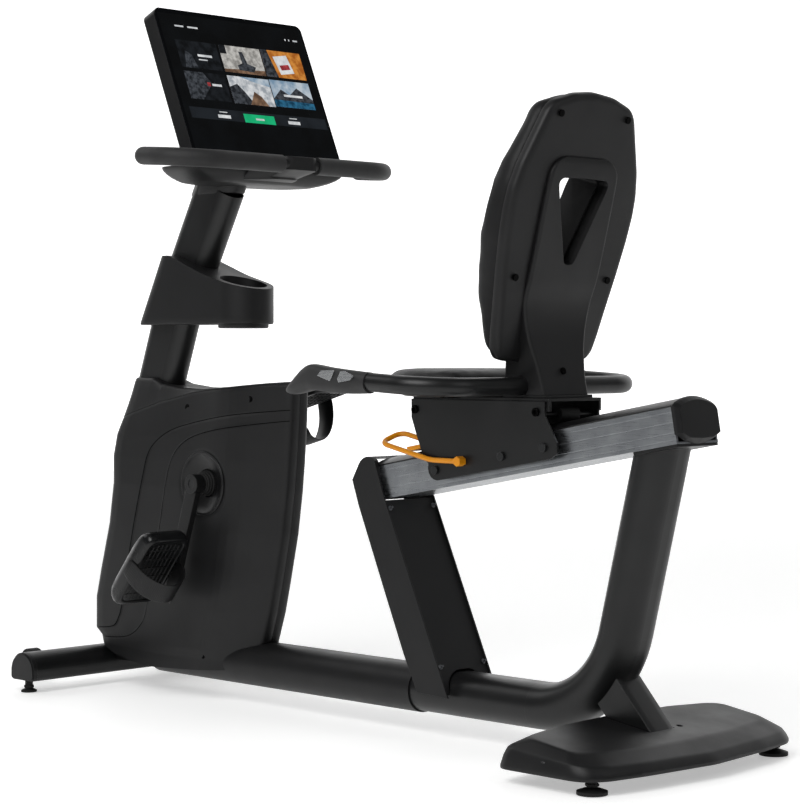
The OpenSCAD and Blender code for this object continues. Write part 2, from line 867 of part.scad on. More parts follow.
module column_solid(last, i = 0) {
  for (k = [0:last]) {
    a = column_stations[k];
    b = column_stations[k + 1];
    hull() {
      for (s = [a, b]) slab(s[0], 1) polygon(both_sides([[0, s[1] + i], [s[3] - i, s[1] + i],
        [s[3] - i, s[2] - 10 - i], [s[3] - 9 - i, s[2] - i], [0, s[2] - i]]));
    }
  }
}

window_outline = both_sides([[0, 26], [12, 28], [62, 158], [64, 168], [56, 175], [0, 177]]);

// Outline of the spine in the backrest's frame, a hair wider than the spine
spine_outline = both_sides([[0, -156], [70, -156], [88, -60], [91, 0], [91, 176], [68, 220], [0, 220]]);

// Triangular window through the spine, the shell and the cushion, in the backrest's frame
module window(grow = 0) {
  translate([0, 0, -120]) linear_extrude(160) offset(grow) polygon(window_outline);
}

// Steel post and base plate that carry the backrest
module back_post() {
  color(black_paint) from_feet() difference() {
    union() {
      translate([-60, 1134, 612]) cube([120, 100, 5]);
      translate([-25, 1155, 617]) cube([50, 40, 50]);
      translate([-25, 1168, 660]) cube([50, 28, 45]);
    }
    axle(16, -100, 100, 1175, 632);
  }
}

module seat_column() {
  color(black_plastic) from_feet() difference() {
    column_solid(5);
    // hollow lower casing
    hull() {
      translate([-52, 1139, 616]) cube([104, 82, 1]);
      translate([-60, 1150, 709]) cube([120, 50, 1]);
    }
    axle(16, -100, 100, 1175, 632);
    on_back() window();
    on_back() translate([-130, -156, -140]) cube([260, 600, 114]);
  }
}

// Outline of the backrest's shell in its own frame
function back_outline(i = 0) = both_sides([[0, -152 + i], [70 - i * 0.5, -150 + i], [94 - i, -138 + i * 0.7],
  [122 - i, -108], [137 - i, -70], [152 - i, 5], [162 - i, 90], [162 - i, 140], [154 - i, 190],
  [128 - i, 252 - i * 0.5], [106 - i, 290 - i], [90 - i, 303 - i], [46, 317 - i], [0, 322 - i]]);

module back_shell() {
  color(black_plastic) from_feet() on_back() difference() {
    hull() {
      translate([0, 0, -5]) linear_extrude(1) polygon(back_outline(6));
      translate([0, 0, -14]) linear_extrude(1) polygon(back_outline());
      translate([0, 0, -26]) linear_extrude(1) polygon(back_outline());
    }
    translate([0, 0, -27]) linear_extrude(19) difference() {
      polygon(back_outline(6));
      offset(4) polygon(window_outline);
    }
    window();
    translate([0, 0, -30]) linear_extrude(40) polygon(spine_outline);
  }
}

module back_cushion() {
  color(soft_black) from_feet() on_back() difference() {
    hull() {
      translate([0, 0, -27]) linear_extrude(1) polygon(back_outline(2));
      translate([0, 0, -50]) linear_extrude(1) polygon(back_outline(4));
      translate([0, 0, -84]) linear_extrude(1) polygon(back_outline(38));
    }
    window(3);
  }
}

seat_handle_bend = 90;
seat_handle_rise = 3;

module seat_handles() {
  color(black_paint) from_feet() pair() translate([0, 1175, 632])
    rotate([-90 - seat_handle_rise, 0, 0]) rotate([0, 90, 0])
      bent([[seat_handle_x - seat_handle_bend, seat_handle_bend, 90, 0], [170, 0, 0, 0]]) difference() {
        circle(16);
        circle(13.5);
      }
}

// Side outline of a moulded grip, as [y, z] points
grip_outline = [[1026, 619], [1026, 657], [968, 661], [918, 666], [890, 670], [876, 668], [862, 660],
  [836, 640], [824, 628], [822, 620], [830, 615], [842, 616], [887, 625], [944, 621]];

module seat_grips() {
  color(soft_black) from_feet() pair() translate([seat_handle_x, 0, 0]) difference() {
    intersection() {
      profile(-20, 20) polygon(grip_outline);
      translate([0, 0, 560]) linear_extrude(160)
        polygon(concat(both_sides([[0, 1027], [19, 1027], [20, 960], [20, 890], [14, 846], [0, 815]])));
    }
    translate([0, 1175, 632]) rotate([90 - seat_handle_rise, 0, 0]) cylinder(h = 260 + gap, r = 16.1);
  }
}

// Metal plates on the outer side of each grip that read the rider's pulse
module pulse_plates() {
  color(alloy) from_feet() pair() {
    profile(seat_handle_x + 20, seat_handle_x + 21)
      polygon([[917, 650], [927, 659], [960, 660], [953, 648], [948, 641]]);
    profile(seat_handle_x + 20, seat_handle_x + 21)
      polygon([[975, 658], [986, 658], [1007, 650], [998, 643], [970, 639], [967, 645]]);
  }
}

// ---------- pedals ----------

pedal_side = [[-83, 10], [83, 10], [90, -4], [82, -24], [44, -32], [-52, -36], [-86, -24], [-92, -6]];

// One pedal on the +X side: Y along the foot, Z out of the sole side
module pedal() {
  scale_l = pedal_length / 166;
  difference() {
    profile(pedal_in, pedal_in + pedal_width) polygon([for (p = pedal_side) [p[0] * scale_l, p[1]]]);
    axle(spindle_r + run, pedal_in - 1, 207, 0, 0);
    // channels of the tread
    for (i = [-4:4]) translate([pedal_in + 14, i * 16 - 1.5, 8.5]) cube([pedal_width - 28, 3, 3]);
  }
}

// Strap that arches over the foot
module strap() {
  difference() {
    translate([0, -20, 0]) rotate([-90, 0, 0]) mirror([0, 1, 0]) linear_extrude(44) {
      c = [pedal_in + pedal_width / 2, 12];
      half = pedal_width / 2;
      polygon(concat([[c[0] + half + 3.5, -14]], ellipse(c, half + 3.5, 62, 0, 180, 20),
        [[c[0] - half - 3.5, -14]], [[c[0] - half, -14]], ellipse(c, half, 58.5, 180, 0, 20),
        [[c[0] + half, -14]]));
    }
    axle(spindle_r + 0.5, 100, 206, 0, 0);
  }
}

module left_pedal_place() {
  crank_end(0) rotate([crank_angle, 0, 0]) rotate([left_pedal_tilt, 0, 0]) mirror([0, 0, 1]) children();
}

module right_pedal_place() {
  mirror([1, 0, 0]) crank_end(180) rotate([crank_angle - 180, 0, 0]) rotate([15, 0, 0]) mirror([0, 0, 1]) children();
}

module pedal_left() { color(soft_black) from_feet() left_pedal_place() pedal(); }

module pedal_right() { color(soft_black) from_feet() right_pedal_place() pedal(); }

module strap_left() { color(black_plastic) from_feet() left_pedal_place() strap(); }

module strap_right() { color(black_plastic) from_feet() right_pedal_place() strap(); }

// ---------- wheels and fasteners ----------

module transport_wheel(side) {
  difference() {
    axle(wheel_r, side * wheel_x - 11, side * wheel_x + 11, wheel_y, wheel_z);
    axle(5 + run, side * wheel_x - 12, side * wheel_x + 12, wheel_y, wheel_z);
  }
}

module wheel_left() { color(soft_black) from_feet() transport_wheel(1); }

module wheel_right() { color(soft_black) from_feet() transport_wheel(-1); }

module frame_screws() {
  color(steel) from_feet() {
    pair() axle(5, wheel_x - 20, wheel_x + 20, wheel_y, wheel_z);
    for (s = [-1, 1], p = [[851, 405], [978, 128]]) translate([s * 56, p[0], p[1]])
      rotate([-90 + rear_slope, 0, 0]) {
        cylinder(h = 20, r = 2, center = true);
        translate([0, 0, 2.2]) cylinder(h = 2, r = 4.5);
      }
  }
}

// Screws of the backrest's shell and of the column
module seat_screws() {
  color(steel) from_feet() {
    on_back() for (x = [-1, 1], p = [[87, 282], [120, 0]]) translate([x * p[0], p[1], -4]) cylinder(h = 2.5, r = 6);
    translate([0, 1218.3, 658]) rotate([-76.3, 0, 0]) cylinder(h = 2.5, r = 6);
  }
}

main_frame();
front_stabilizer();
stabilizer_end_caps();
rear_cross_member();
foot_cover();
pillar_post();
pillar_cover();
pillar_rear_panel();
seat_rail();
rail_top_strip();
rail_end_cap();
beam_cover();
housing_left();
housing_right();
top_shroud();
drive_frame();
crank_bearings();
crank_covers();
drive_belt();
stator();
mast();
cup_holder();
console_base();
screen_housing();
display_panel();
screen_glass();
console_handles();
console_grips();
frame_screws();
crank_axle();
crank_arm_left();
crank_arm_right();
drive_pulley();
flywheel();
pedal_left();
pedal_right();
strap_left();
strap_right();
carriage_channel();
carriage_plates();
glide_pads();
seat_pan();
seat_cushion();
back_post();
seat_column();
back_shell();
back_cushion();
seat_handles();
seat_grips();
pulse_plates();
seat_screws();
adjust_lever();
roller_front();
roller_rear();
wheel_left();
wheel_right();
foot_front_left();
foot_front_right();
foot_rear_left();
foot_rear_right();
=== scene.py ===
"""A recumbent exercise bike: the looks of its painted steel, moulded plastic, alloy rail and
upholstery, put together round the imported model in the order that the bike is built."""

import math

import bmesh
import bpy
import numpy as np
from mathutils import Matrix, Vector


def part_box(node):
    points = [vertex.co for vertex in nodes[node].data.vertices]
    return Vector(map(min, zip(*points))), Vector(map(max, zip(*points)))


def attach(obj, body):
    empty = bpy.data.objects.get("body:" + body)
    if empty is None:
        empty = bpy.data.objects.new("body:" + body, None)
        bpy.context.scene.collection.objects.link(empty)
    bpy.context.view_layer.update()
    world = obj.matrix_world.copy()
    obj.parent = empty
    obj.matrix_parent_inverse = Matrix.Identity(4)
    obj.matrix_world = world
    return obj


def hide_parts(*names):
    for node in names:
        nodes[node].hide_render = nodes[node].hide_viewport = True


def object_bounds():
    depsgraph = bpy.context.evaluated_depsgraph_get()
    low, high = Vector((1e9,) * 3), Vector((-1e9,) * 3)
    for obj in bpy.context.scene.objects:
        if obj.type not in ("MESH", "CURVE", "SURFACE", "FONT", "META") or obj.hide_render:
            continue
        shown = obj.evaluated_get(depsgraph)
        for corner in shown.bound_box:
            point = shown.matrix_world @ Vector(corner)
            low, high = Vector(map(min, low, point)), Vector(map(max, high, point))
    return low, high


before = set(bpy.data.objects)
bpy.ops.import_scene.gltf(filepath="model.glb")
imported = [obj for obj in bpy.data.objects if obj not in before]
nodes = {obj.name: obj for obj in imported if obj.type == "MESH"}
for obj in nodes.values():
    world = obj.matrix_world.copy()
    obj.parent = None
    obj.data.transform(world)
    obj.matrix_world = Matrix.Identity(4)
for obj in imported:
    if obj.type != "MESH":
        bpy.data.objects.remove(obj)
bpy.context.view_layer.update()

# ---------------------------------------------------------------------------------------------
# Camera and places. Everything along the bike is counted from the front levelling feet, in
# millimetres, because those are what a maker measures from.
# ---------------------------------------------------------------------------------------------
foot_low, foot_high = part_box("foot_front_left")
front_feet = (foot_low.y + foot_high.y) / 2


def at(x, y, z):
    """A place on the bike: x to the rider's left, y back from the front feet, z up, in mm."""
    return Vector((x / 1000, front_feet + y / 1000, z / 1000))


camera_data = bpy.data.cameras.new("camera")
camera_data.lens = 100.9
camera_data.sensor_width = 36
camera_data.clip_end = 60
camera = bpy.data.objects.new("camera", camera_data)
camera.location = at(2938, 3753, 700)
camera.rotation_euler = Vector((-0.708, -0.706, -0.0246)).to_track_quat("-Z", "Y").to_euler()
bpy.context.scene.collection.objects.link(camera)
bpy.context.scene.camera = camera

# ---------------------------------------------------------------------------------------------
# Welded steel frame, drive frame and brackets. Mild steel, powder coated satin black: a soft
# sheen with a faint orange peel, and edges that catch a little more light.
# ---------------------------------------------------------------------------------------------


def srgb(text, alpha=1.0):
    """A hex colour as the linear colour that a shader takes."""
    parts = [int(text[i:i + 2], 16) / 255 for i in (0, 2, 4)]
    return [p / 12.92 if p <= 0.04045 else ((p + 0.055) / 1.055) ** 2.4 for p in parts] + [alpha]


def add(tree, kind, links=None, values=None, **settings):
    """Adds one node with its settings, socket values and incoming links."""
    made = tree.nodes.new("ShaderNode" + kind)
    for key, value in settings.items():
        setattr(made, key, value)
    for key, value in (values or {}).items():
        made.inputs[key].default_value = value
    for key, (source, output) in (links or {}).items():
        tree.links.new(source.outputs[output], made.inputs[key])
    return made


def start_material(name):
    """A new material with its tree, its Principled shader and object coordinates in metres."""
    made = bpy.data.materials.new(name)
    made.use_nodes = True
    tree = made.node_tree
    shader = tree.nodes["Principled BSDF"]
    place = add(tree, "TexCoord")
    return made, tree, shader, place


def mottled(tree, shader, place, dark, light, grain_mm):
    """Base colour that wanders between two close tones, as paint and mouldings do."""
    cloud = add(tree, "TexNoise", {"Vector": (place, "Object")},
                {"Scale": 1000 / grain_mm, "Detail": 3.0, "Roughness": 0.6})
    tone = add(tree, "ValToRGB", {"Fac": (cloud, "Fac")})
    tone.color_ramp.elements[0].position = 0.3
    tone.color_ramp.elements[0].color = srgb(dark)
    tone.color_ramp.elements[1].position = 0.7
    tone.color_ramp.elements[1].color = srgb(light)
    tree.links.new(tone.outputs["Color"], shader.inputs["Base Color"])
    return cloud


def worn_gloss(tree, shader, place, low, high, grain_mm):
    """Roughness that wanders between two values, as on handled surfaces."""
    cloud = add(tree, "TexNoise", {"Vector": (place, "Object")},
                {"Scale": 1000 / grain_mm, "Detail": 4.0, "Roughness": 0.55})
    spread = add(tree, "MapRange", {"Value": (cloud, "Fac")},
                 {"From Min": 0.3, "From Max": 0.7, "To Min": low, "To Max": high})
    tree.links.new(spread.outputs["Result"], shader.inputs["Roughness"])


def relief(tree, shader, heights, edge_mm=1.2):
    """Fine relief from [height output, depth in mm] pairs, over edges softened by edge_mm."""
    last = add(tree, "Bevel", None, {"Radius": edge_mm / 1000}, samples=4)
    for height, depth_mm in heights:
        last = add(tree, "Bump", {"Height": height, "Normal": (last, "Normal")},
                   {"Strength": 1.0, "Distance": depth_mm / 1000})
    tree.links.new(last.outputs["Normal"], shader.inputs["Normal"])


def powder_coat(name, dark, light, gloss=(0.34, 0.44)):
    """Powder coat: orange peel about 2.5 mm across, a few hundredths of a millimetre deep."""
    made, tree, shader, place = start_material(name)
    mottled(tree, shader, place, dark, light, 90)
    worn_gloss(tree, shader, place, gloss[0], gloss[1], 60)
    peel = add(tree, "TexNoise", {"Vector": (place, "Object")},
               {"Scale": 1000 / 2.5, "Detail": 2.0, "Roughness": 0.5})
    relief(tree, shader, [((peel, "Fac"), 0.03)], 1.5)
    shader.inputs["IOR"].default_value = 1.5
    shader.inputs["Specular IOR Level"].default_value = 0.34
    shader.inputs["Coat Weight"].default_value = 0.08
    shader.inputs["Coat Roughness"].default_value = 0.25
    return made


satin_black_steel = powder_coat("satin_black_powder_coat", "0b0c0c", "101011")


def finish_nodes(material, *names):
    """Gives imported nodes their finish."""
    for name in names:
        mesh = nodes[name].data
        mesh.materials.clear()
        mesh.materials.append(material)


finish_nodes(satin_black_steel, "main_frame", "front_stabilizer", "rear_cross_member", "pillar_post",
             "drive_frame", "mast", "carriage_channel", "carriage_plates", "back_post",
             "seat_handles", "console_handles")

# ---------------------------------------------------------------------------------------------
# Plastic mouldings that are shown as packed: caps, sleeve, pillar cover, pans. Injection
# moulded ABS, black, with a fine spark-eroded texture that scatters the light evenly.
# ---------------------------------------------------------------------------------------------


def moulded(name, dark, light, gloss, texture_mm=1.1, depth_mm=0.035, edge_mm=1.6):
    """Moulded plastic. The real texture is near 0.3 mm and is drawn coarser so that it shows."""
    made, tree, shader, place = start_material(name)
    mottled(tree, shader, place, dark, light, 140)
    worn_gloss(tree, shader, place, gloss[0], gloss[1], 80)
    pits = add(tree, "TexNoise", {"Vector": (place, "Object")},
               {"Scale": 1000 / texture_mm, "Detail": 2.0, "Roughness": 0.6})
    flow = add(tree, "TexNoise", {"Vector": (place, "Object")},
               {"Scale": 1000 / 120, "Detail": 1.0, "Roughness": 0.4})
    relief(tree, shader, [((flow, "Fac"), 0.25), ((pits, "Fac"), depth_mm)], edge_mm)
    shader.inputs["IOR"].default_value = 1.48
    shader.inputs["Specular IOR Level"].default_value = 0.34
    return made


textured_abs = moulded("textured_black_abs", "0c0c0d", "111112", (0.42, 0.52))
smooth_abs = moulded("smooth_black_abs", "0a0a0b", "0f0f10", (0.32, 0.42), 1.6, 0.015)
finish_nodes(textured_abs, "stabilizer_end_caps", "pillar_cover", "pillar_rear_panel", "beam_cover",
             "seat_pan", "rail_end_cap", "crank_covers", "housing_left", "housing_right",
             "top_shroud", "foot_cover", "cup_holder", "console_base", "seat_column", "back_shell")
finish_nodes(smooth_abs, "screen_housing", "rail_top_strip", "drive_pulley")

# ---------------------------------------------------------------------------------------------
# Rubber, bright steel and wound copper: belt, rollers, wheels, feet, bearings, flywheel.
# ---------------------------------------------------------------------------------------------
black_rubber = moulded("matt_black_rubber", "0b0b0b", "101010", (0.62, 0.74), 1.4, 0.05)
finish_nodes(black_rubber, "drive_belt", "wheel_left", "wheel_right", "roller_front", "roller_rear",
             "foot_front_left", "foot_front_right", "foot_rear_left", "foot_rear_right")


def bare_metal(name, dark, light, gloss, streak, metallic=1.0):
    """Metal with fine drawn lines; streak is how much finer they are along X, Y and Z."""
    made, tree, shader, place = start_material(name)
    mottled(tree, shader, place, dark, light, 60)
    stretch = add(tree, "Mapping", {"Vector": (place, "Object")}, {"Scale": streak})
    lines = add(tree, "TexNoise", {"Vector": (stretch, "Vector")},
                {"Scale": 1.0, "Detail": 3.0, "Roughness": 0.7})
    spread = add(tree, "MapRange", {"Value": (lines, "Fac")},
                 {"From Min": 0.3, "From Max": 0.7, "To Min": gloss[0], "To Max": gloss[1]})
    tree.links.new(spread.outputs["Result"], shader.inputs["Roughness"])
    relief(tree, shader, [((lines, "Fac"), 0.02)], 0.8)
    shader.inputs["Metallic"].default_value = metallic
    return made


bright_steel = bare_metal("zinc_plated_steel", "6a6c6f", "85878a", (0.28, 0.42), (900, 900, 900))
turned_iron = bare_metal("turned_iron", "55575a", "6f7174", (0.3, 0.5), (60, 1600, 1600))
wound_copper = bare_metal("varnished_copper", "6d3a1c", "8d5126", (0.3, 0.45), (1400, 300, 300))
finish_nodes(bright_steel, "crank_bearings", "frame_screws")
finish_nodes(turned_iron, "flywheel")
finish_nodes(wound_copper, "stator")
# Screw heads: dark steel, drawn near black with their reflection almost turned off, so that they also stand for the
# painted shade of the recesses they sit in.
black_screws_recess_shade = powder_coat("black_screws_painted_recess_shade", "010101", "020202", (0.8, 0.9))
black_screws_recess_shade.node_tree.nodes["Principled BSDF"].inputs["Specular IOR Level"].default_value = 0.02
finish_nodes(black_screws_recess_shade, "seat_screws")
plate_bolts = powder_coat("dark_zinc_bolts", "121314", "1a1b1c", (0.28, 0.36))
finish_nodes(plate_bolts, "glide_pads", "crank_axle")

# ---------------------------------------------------------------------------------------------
# Seat rail. A hollow aluminium extrusion, satin anodised, with long drawn lines along its
# slope; its crown is under a dark wear strip.
# ---------------------------------------------------------------------------------------------
anodised = bare_metal("satin_anodised_aluminium", "8b8e92", "a4a7aa", (0.24, 0.38), (900, 14, 900))
finish_nodes(anodised, "seat_rail")
pulse_steel = bare_metal("brushed_stainless", "b4b6b8", "cfd1d2", (0.2, 0.32), (900, 40, 900))
finish_nodes(pulse_steel, "pulse_plates")

# ---------------------------------------------------------------------------------------------
# Drive housing. Two textured ABS half shells that meet on the centre line, bowed at the front,
# tapering to a narrow rear edge; a shallow band sweeps over each side and loops to the front.
# ---------------------------------------------------------------------------------------------


def shape(name, points, faces, body, material, replaced=(), slot=None, sharp=35):
    """Makes a mesh object from points and faces, gives it its finish and lets it ride."""
    mesh = bpy.data.meshes.new(name)
    mesh.from_pydata([tuple(p) for p in points], [], [tuple(f) for f in faces])
    mesh.validate()
    tidy = bmesh.new()
    tidy.from_mesh(mesh)
    bmesh.ops.remove_doubles(tidy, verts=tidy.verts, dist=1e-6)
    bmesh.ops.recalc_face_normals(tidy, faces=tidy.faces)
    tidy.to_mesh(mesh)
    tidy.free()
    mesh.shade_smooth()
    mesh.set_sharp_from_angle(angle=math.radians(sharp))
    mesh.materials.append(material)
    made = bpy.data.objects.new(name, mesh)
    bpy.context.scene.collection.objects.link(made)
    if replaced:
        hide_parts(*replaced)
    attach(made, body)
    return made


def grid_faces(rows, columns, wrap_rows=False, wrap_columns=False):
    """Quads of a grid of points that are stored row by row."""
    return [(r * columns + c, r * columns + (c + 1) % columns,
             ((r + 1) % rows) * columns + (c + 1) % columns, ((r + 1) % rows) * columns + c)
            for r in range(rows if wrap_rows else rows - 1)
            for c in range(columns if wrap_columns else columns - 1)]


def flowing(knots, count, closed=False):
    """Points at even spacing along a smooth curve through the knots."""
    knots = np.array(knots, float)
    if closed:
        knots = np.vstack([knots[-1], knots, knots[0], knots[1]])
    else:
        knots = np.vstack([2 * knots[0] - knots[1], knots, 2 * knots[-1] - knots[-2]])
    steps = np.linspace(0, 1, 25)[:, None]
    path = [knots[1][None]]
    for a, b, c, d in zip(knots[:-3], knots[1:-2], knots[2:-1], knots[3:]):
        path.append((0.5 * (2 * b + (c - a) * steps + (2 * a - 5 * b + 4 * c - d) * steps ** 2
                            + (3 * b - a - 3 * c + d) * steps ** 3))[1:])
    path = np.vstack(path)
    run = np.concatenate([[0], np.cumsum(np.linalg.norm(np.diff(path, axis=0), axis=1))])
    wanted = np.linspace(0, run[-1], count + 1 if closed else count)
    if closed:
        wanted = wanted[:-1]
    return np.stack([np.interp(wanted, run, path[:, k]) for k in range(path.shape[1])], axis=1)


def away_from(points, line):
    """Distance of each [y, z] point from a polyline."""
    best = np.full(points.shape[:-1], 1e9)
    for a, b in zip(line[:-1], line[1:]):
        step = b - a
        t = np.clip(((points - a) @ step) / (step @ step), 0, 1)
        best = np.minimum(best, np.linalg.norm(points - a - t[..., None] * step, axis=-1))
    return best


def inside(points, line):
    """Whether each point lies inside a closed outline."""
    count = np.zeros(points.shape[:-1], int)
    for a, b in zip(line, np.roll(line, -1, axis=0)):
        crosses = (a[1] > points[..., 1]) != (b[1] > points[..., 1])
        with np.errstate(divide="ignore", invalid="ignore"):
            cut = (b[0] - a[0]) * (points[..., 1] - a[1]) / (b[1] - a[1]) + a[0]
        count += crosses & (points[..., 0] < cut)
    return count % 2 == 1


def ease(t):
    """A soft step from 0 to 1."""
    t = np.clip(t, 0, 1)
    return t * t * (3 - 2 * t)


# height: front edge, rear edge, half width at the front and at the rear
housing_levels = np.array([
    [50, 0, 455, 68, 68], [80, -4, 458, 68, 68], [100, -8, 461, 70, 70], [114, -26, 466, 71, 70],
    [180, -24, 488, 72, 71], [240, -8, 503, 72, 71], [335, 20, 525, 72, 71], [420, 33, 538, 71, 71],
    [475, 28, 544, 67, 71], [520, 34, 548, 62, 70], [560, 50, 551, 55, 69], [600, 60, 553, 48, 68],
    [640, 66, 555, 42, 66]])
# across share, across offset, share from front to rear edge, offset along: front to rear centre
housing_plan = [[0, 0, 0, 0], [0.4, -14, 0, 0.4], [0.8, -28, 0, 1.2], [1, -34, 0, 2.2], [1, -24, 0, 5.4],
                [1, -14, 0, 11], [1, -6.5, 0, 19], [1, -2, 0, 28], [1, 0, 0.02, 38], [1, 0.6, 0.25, 20],
                [1, 1, 0.5, 0], [1, 0.6, 0.75, -70], [1, -0.6, 0.97, -150], [0.97, 0, 1, -134],
                [0.92, 0, 1, -112], [0.83, 0, 1, -88], [0.69, 0, 1, -62], [0.56, 0, 1, -40],
                [0.46, 0, 1, -22], [0.39, 0, 1, -10], [0.34, 0, 1, -4], [0.28, 0, 1, -1], [0.18, 0, 1, 0],
                [0, 0, 1, 0]]
plan_knots = np.array(housing_plan, float)
knot_place = np.array([[plan[0] * 70 + plan[1], plan[2] * 500 + plan[3]] for plan in plan_knots])
knot_run = np.concatenate([[0], np.cumsum(np.linalg.norm(np.diff(knot_place, axis=0), axis=1))])
plan_steps = np.linspace(0, knot_run[-1], 212)
plan_rows = np.stack([np.interp(plan_steps, knot_run, plan_knots[:, k]) for k in range(4)], axis=1)
for count in range(40):
    eased = (plan_rows[:-2] + 2 * plan_rows[1:-1] + plan_rows[2:]) / 4
    soft = 1 if count < 3 else 60
    plan_rows[soft:-soft if soft > 1 else -1] = eased[soft - 1:1 - soft if soft > 1 else None]


def housing_place(z):
    """Where the housing's skin is at height z, one row for each step round the plan."""
    level = [np.interp(z, housing_levels[:, 0], housing_levels[:, k]) for k in range(5)]
    share = plan_rows[:, 2].reshape(-1, *[1] * (z.ndim - 1))
    half = level[3] * (1 - share) + level[4] * share
    x = plan_rows[:, 0].reshape(share.shape) * half + plan_rows[:, 1].reshape(share.shape)
    y = level[1] * (1 - share) + level[2] * share + plan_rows[:, 3].reshape(share.shape)
    return np.clip(x, 0, None), y


lower_edge = np.array([[-40, 80], [20, 80], [60, 66], [110, 57], [170, 51], [300, 57], [404, 64],
                       [422, 76], [445, 102], [480, 121], [560, 124]], float)
upper_seam = np.array([[0, 530], [60, 552], [95, 563], [191, 588], [294, 607], [400, 619], [470, 624],
                       [600, 627]], float)
top_edge = np.array([[0, 637], [139, 636], [178, 624], [243, 617], [319, 616], [406, 621], [496, 629],
                     [600, 634]], float)
band_outer = flowing([[640, 584], [525, 576], [420, 566], [319, 551], [240, 533], [192, 508], [168, 480],
                      [151, 420], [127, 334], [104, 240], [88, 170], [74, 140], [49, 122], [-60, 112]], 90)
band_inner = flowing([[640, 562], [560, 558], [466, 548], [370, 535], [306, 520], [268, 500], [245, 472],
                      [231, 430], [213, 345], [190, 250], [170, 176], [156, 142], [118, 112], [60, 101],
                      [-60, 98]], 90)
band_outline = np.vstack([band_outer, band_inner[::-1]])
crank_place = np.array([342.0, 430.0])

side_levels = np.linspace(0, 1, 176)[None, :]
heights = np.repeat(np.linspace(60, 600, 176)[None, :], len(plan_rows), axis=0)
for _ in range(4):
    skin_x, skin_y = housing_place(heights)
    low = np.interp(skin_y, lower_edge[:, 0], lower_edge[:, 1])
    high = np.minimum(np.interp(skin_y, upper_seam[:, 0], upper_seam[:, 1]),
                      np.interp(skin_y, top_edge[:, 0], top_edge[:, 1]) - 4)
    heights = low + (high - low) * side_levels
flat_place = np.stack([skin_y, heights], axis=-1)
band_share = ease(away_from(flat_place, np.vstack([band_outline, band_outline[:1]])) / 2.6)
sunk = np.where(inside(flat_place, band_outline), 1.4 * band_share, 0)
reach = np.linalg.norm(flat_place - crank_place, axis=-1)
sunk += 30 * ease((61.5 - reach) / 4) + 0.8 * ease((69 - reach) / 3)
dish = ease(1 - np.hypot((skin_y - 395) / 95, (heights - 275) / 110))
sunk += 2.5 * dish
sideways = ease((skin_x - 30) / 30)
skin_x = np.where(skin_x > 0.5, np.maximum(skin_x - sunk * sideways, 0.3), skin_x)
skin_y = skin_y + np.where(skin_y < 40, sunk * (1 - sideways) * 0.8, 0)
seam_turn = ease(np.array([1 - min(i, 3) / 3 for i in range(len(plan_rows))]))[:, None]
seam_turn = seam_turn + seam_turn[::-1]
skin_y += np.where(np.arange(len(plan_rows))[:, None] < 100, 1.0, -1.0) * seam_turn * 1.0
skin_x += 0.35 * seam_turn
top_turn = ease((side_levels - 0.994) / 0.006)
skin_x -= 1.2 * top_turn * (skin_x > 4)


def on_both_sides(name, grid_x, grid_y, grid_z, material, **more):
    """Makes the left and the right moulding from one grid of places in mm."""
    made = []
    for side, word in ((1, "left"), (-1, "right")):
        points = [at(side * x, y, z) for x, y, z in zip(grid_x.ravel(), grid_y.ravel(), grid_z.ravel())]
        faces = grid_faces(*grid_x.shape)
        made.append(shape(f"{name}_{word}", points, faces, "frame", material,
                          slot="black_textured_plastic", **more.get(word, {})))
    return made


housing_skins = on_both_sides("drive_housing", skin_x, skin_y, heights, textured_abs,
                              left={"replaced": ("housing_left",)}, right={"replaced": ("housing_right",)})


def skin_at(y, z):
    """How far the housing's side is from the centre plane at a place on it, in mm."""
    near = np.argmin((flat_place[60:190, :, 0] - y) ** 2 + (flat_place[60:190, :, 1] - z) ** 2)
    return skin_x[60:190].ravel()[near]


def line_on_housing(name, curve, half_mm, bead=False):
    """A fine near-black strip of painted shade, drawn along a curve on both sides of the housing."""
    for skin, side, word in zip(housing_skins, (1, -1), ("left", "right")):
        points = []
        for k, (y, z) in enumerate(curve):
            ahead = curve[min(k + 1, len(curve) - 1)] - curve[max(k - 1, 0)]
            ahead = ahead / np.linalg.norm(ahead)
            across = np.array([-ahead[1], ahead[0]]) * half_mm
            row = []
            for share in (-1, 0, 1):
                spot = at(side * 120, y + across[0] * share, z + across[1] * share)
                hit, place, normal, _ = skin.ray_cast(spot, (-side, 0, 0))
                if hit:
                    normal = normal if normal.x * side > 0 else -normal
                    row.append(place + normal * 0.00025)
            if len(row) == 3:
                points.append(row)
        shape(f"{name}_{word}", [p for row in points for p in row], grid_faces(len(points), 3), "frame",
              painted_groove_shade, (), "black_textured_plastic")


# Painted shade: near black and almost without reflection, laid along the stepped edges of the sunk band where shade
# falls.
painted_groove_shade = moulded("painted_groove_shade_abs", "010101", "020202", (0.85, 0.95))
painted_groove_shade.node_tree.nodes["Principled BSDF"].inputs["Specular IOR Level"].default_value = 0.05
line_on_housing("band_outer_painted_shade", flowing(band_outer[:-6], 240), 0.75)
line_on_housing("band_inner_painted_shade", flowing(band_inner[:-8], 240), 0.75)

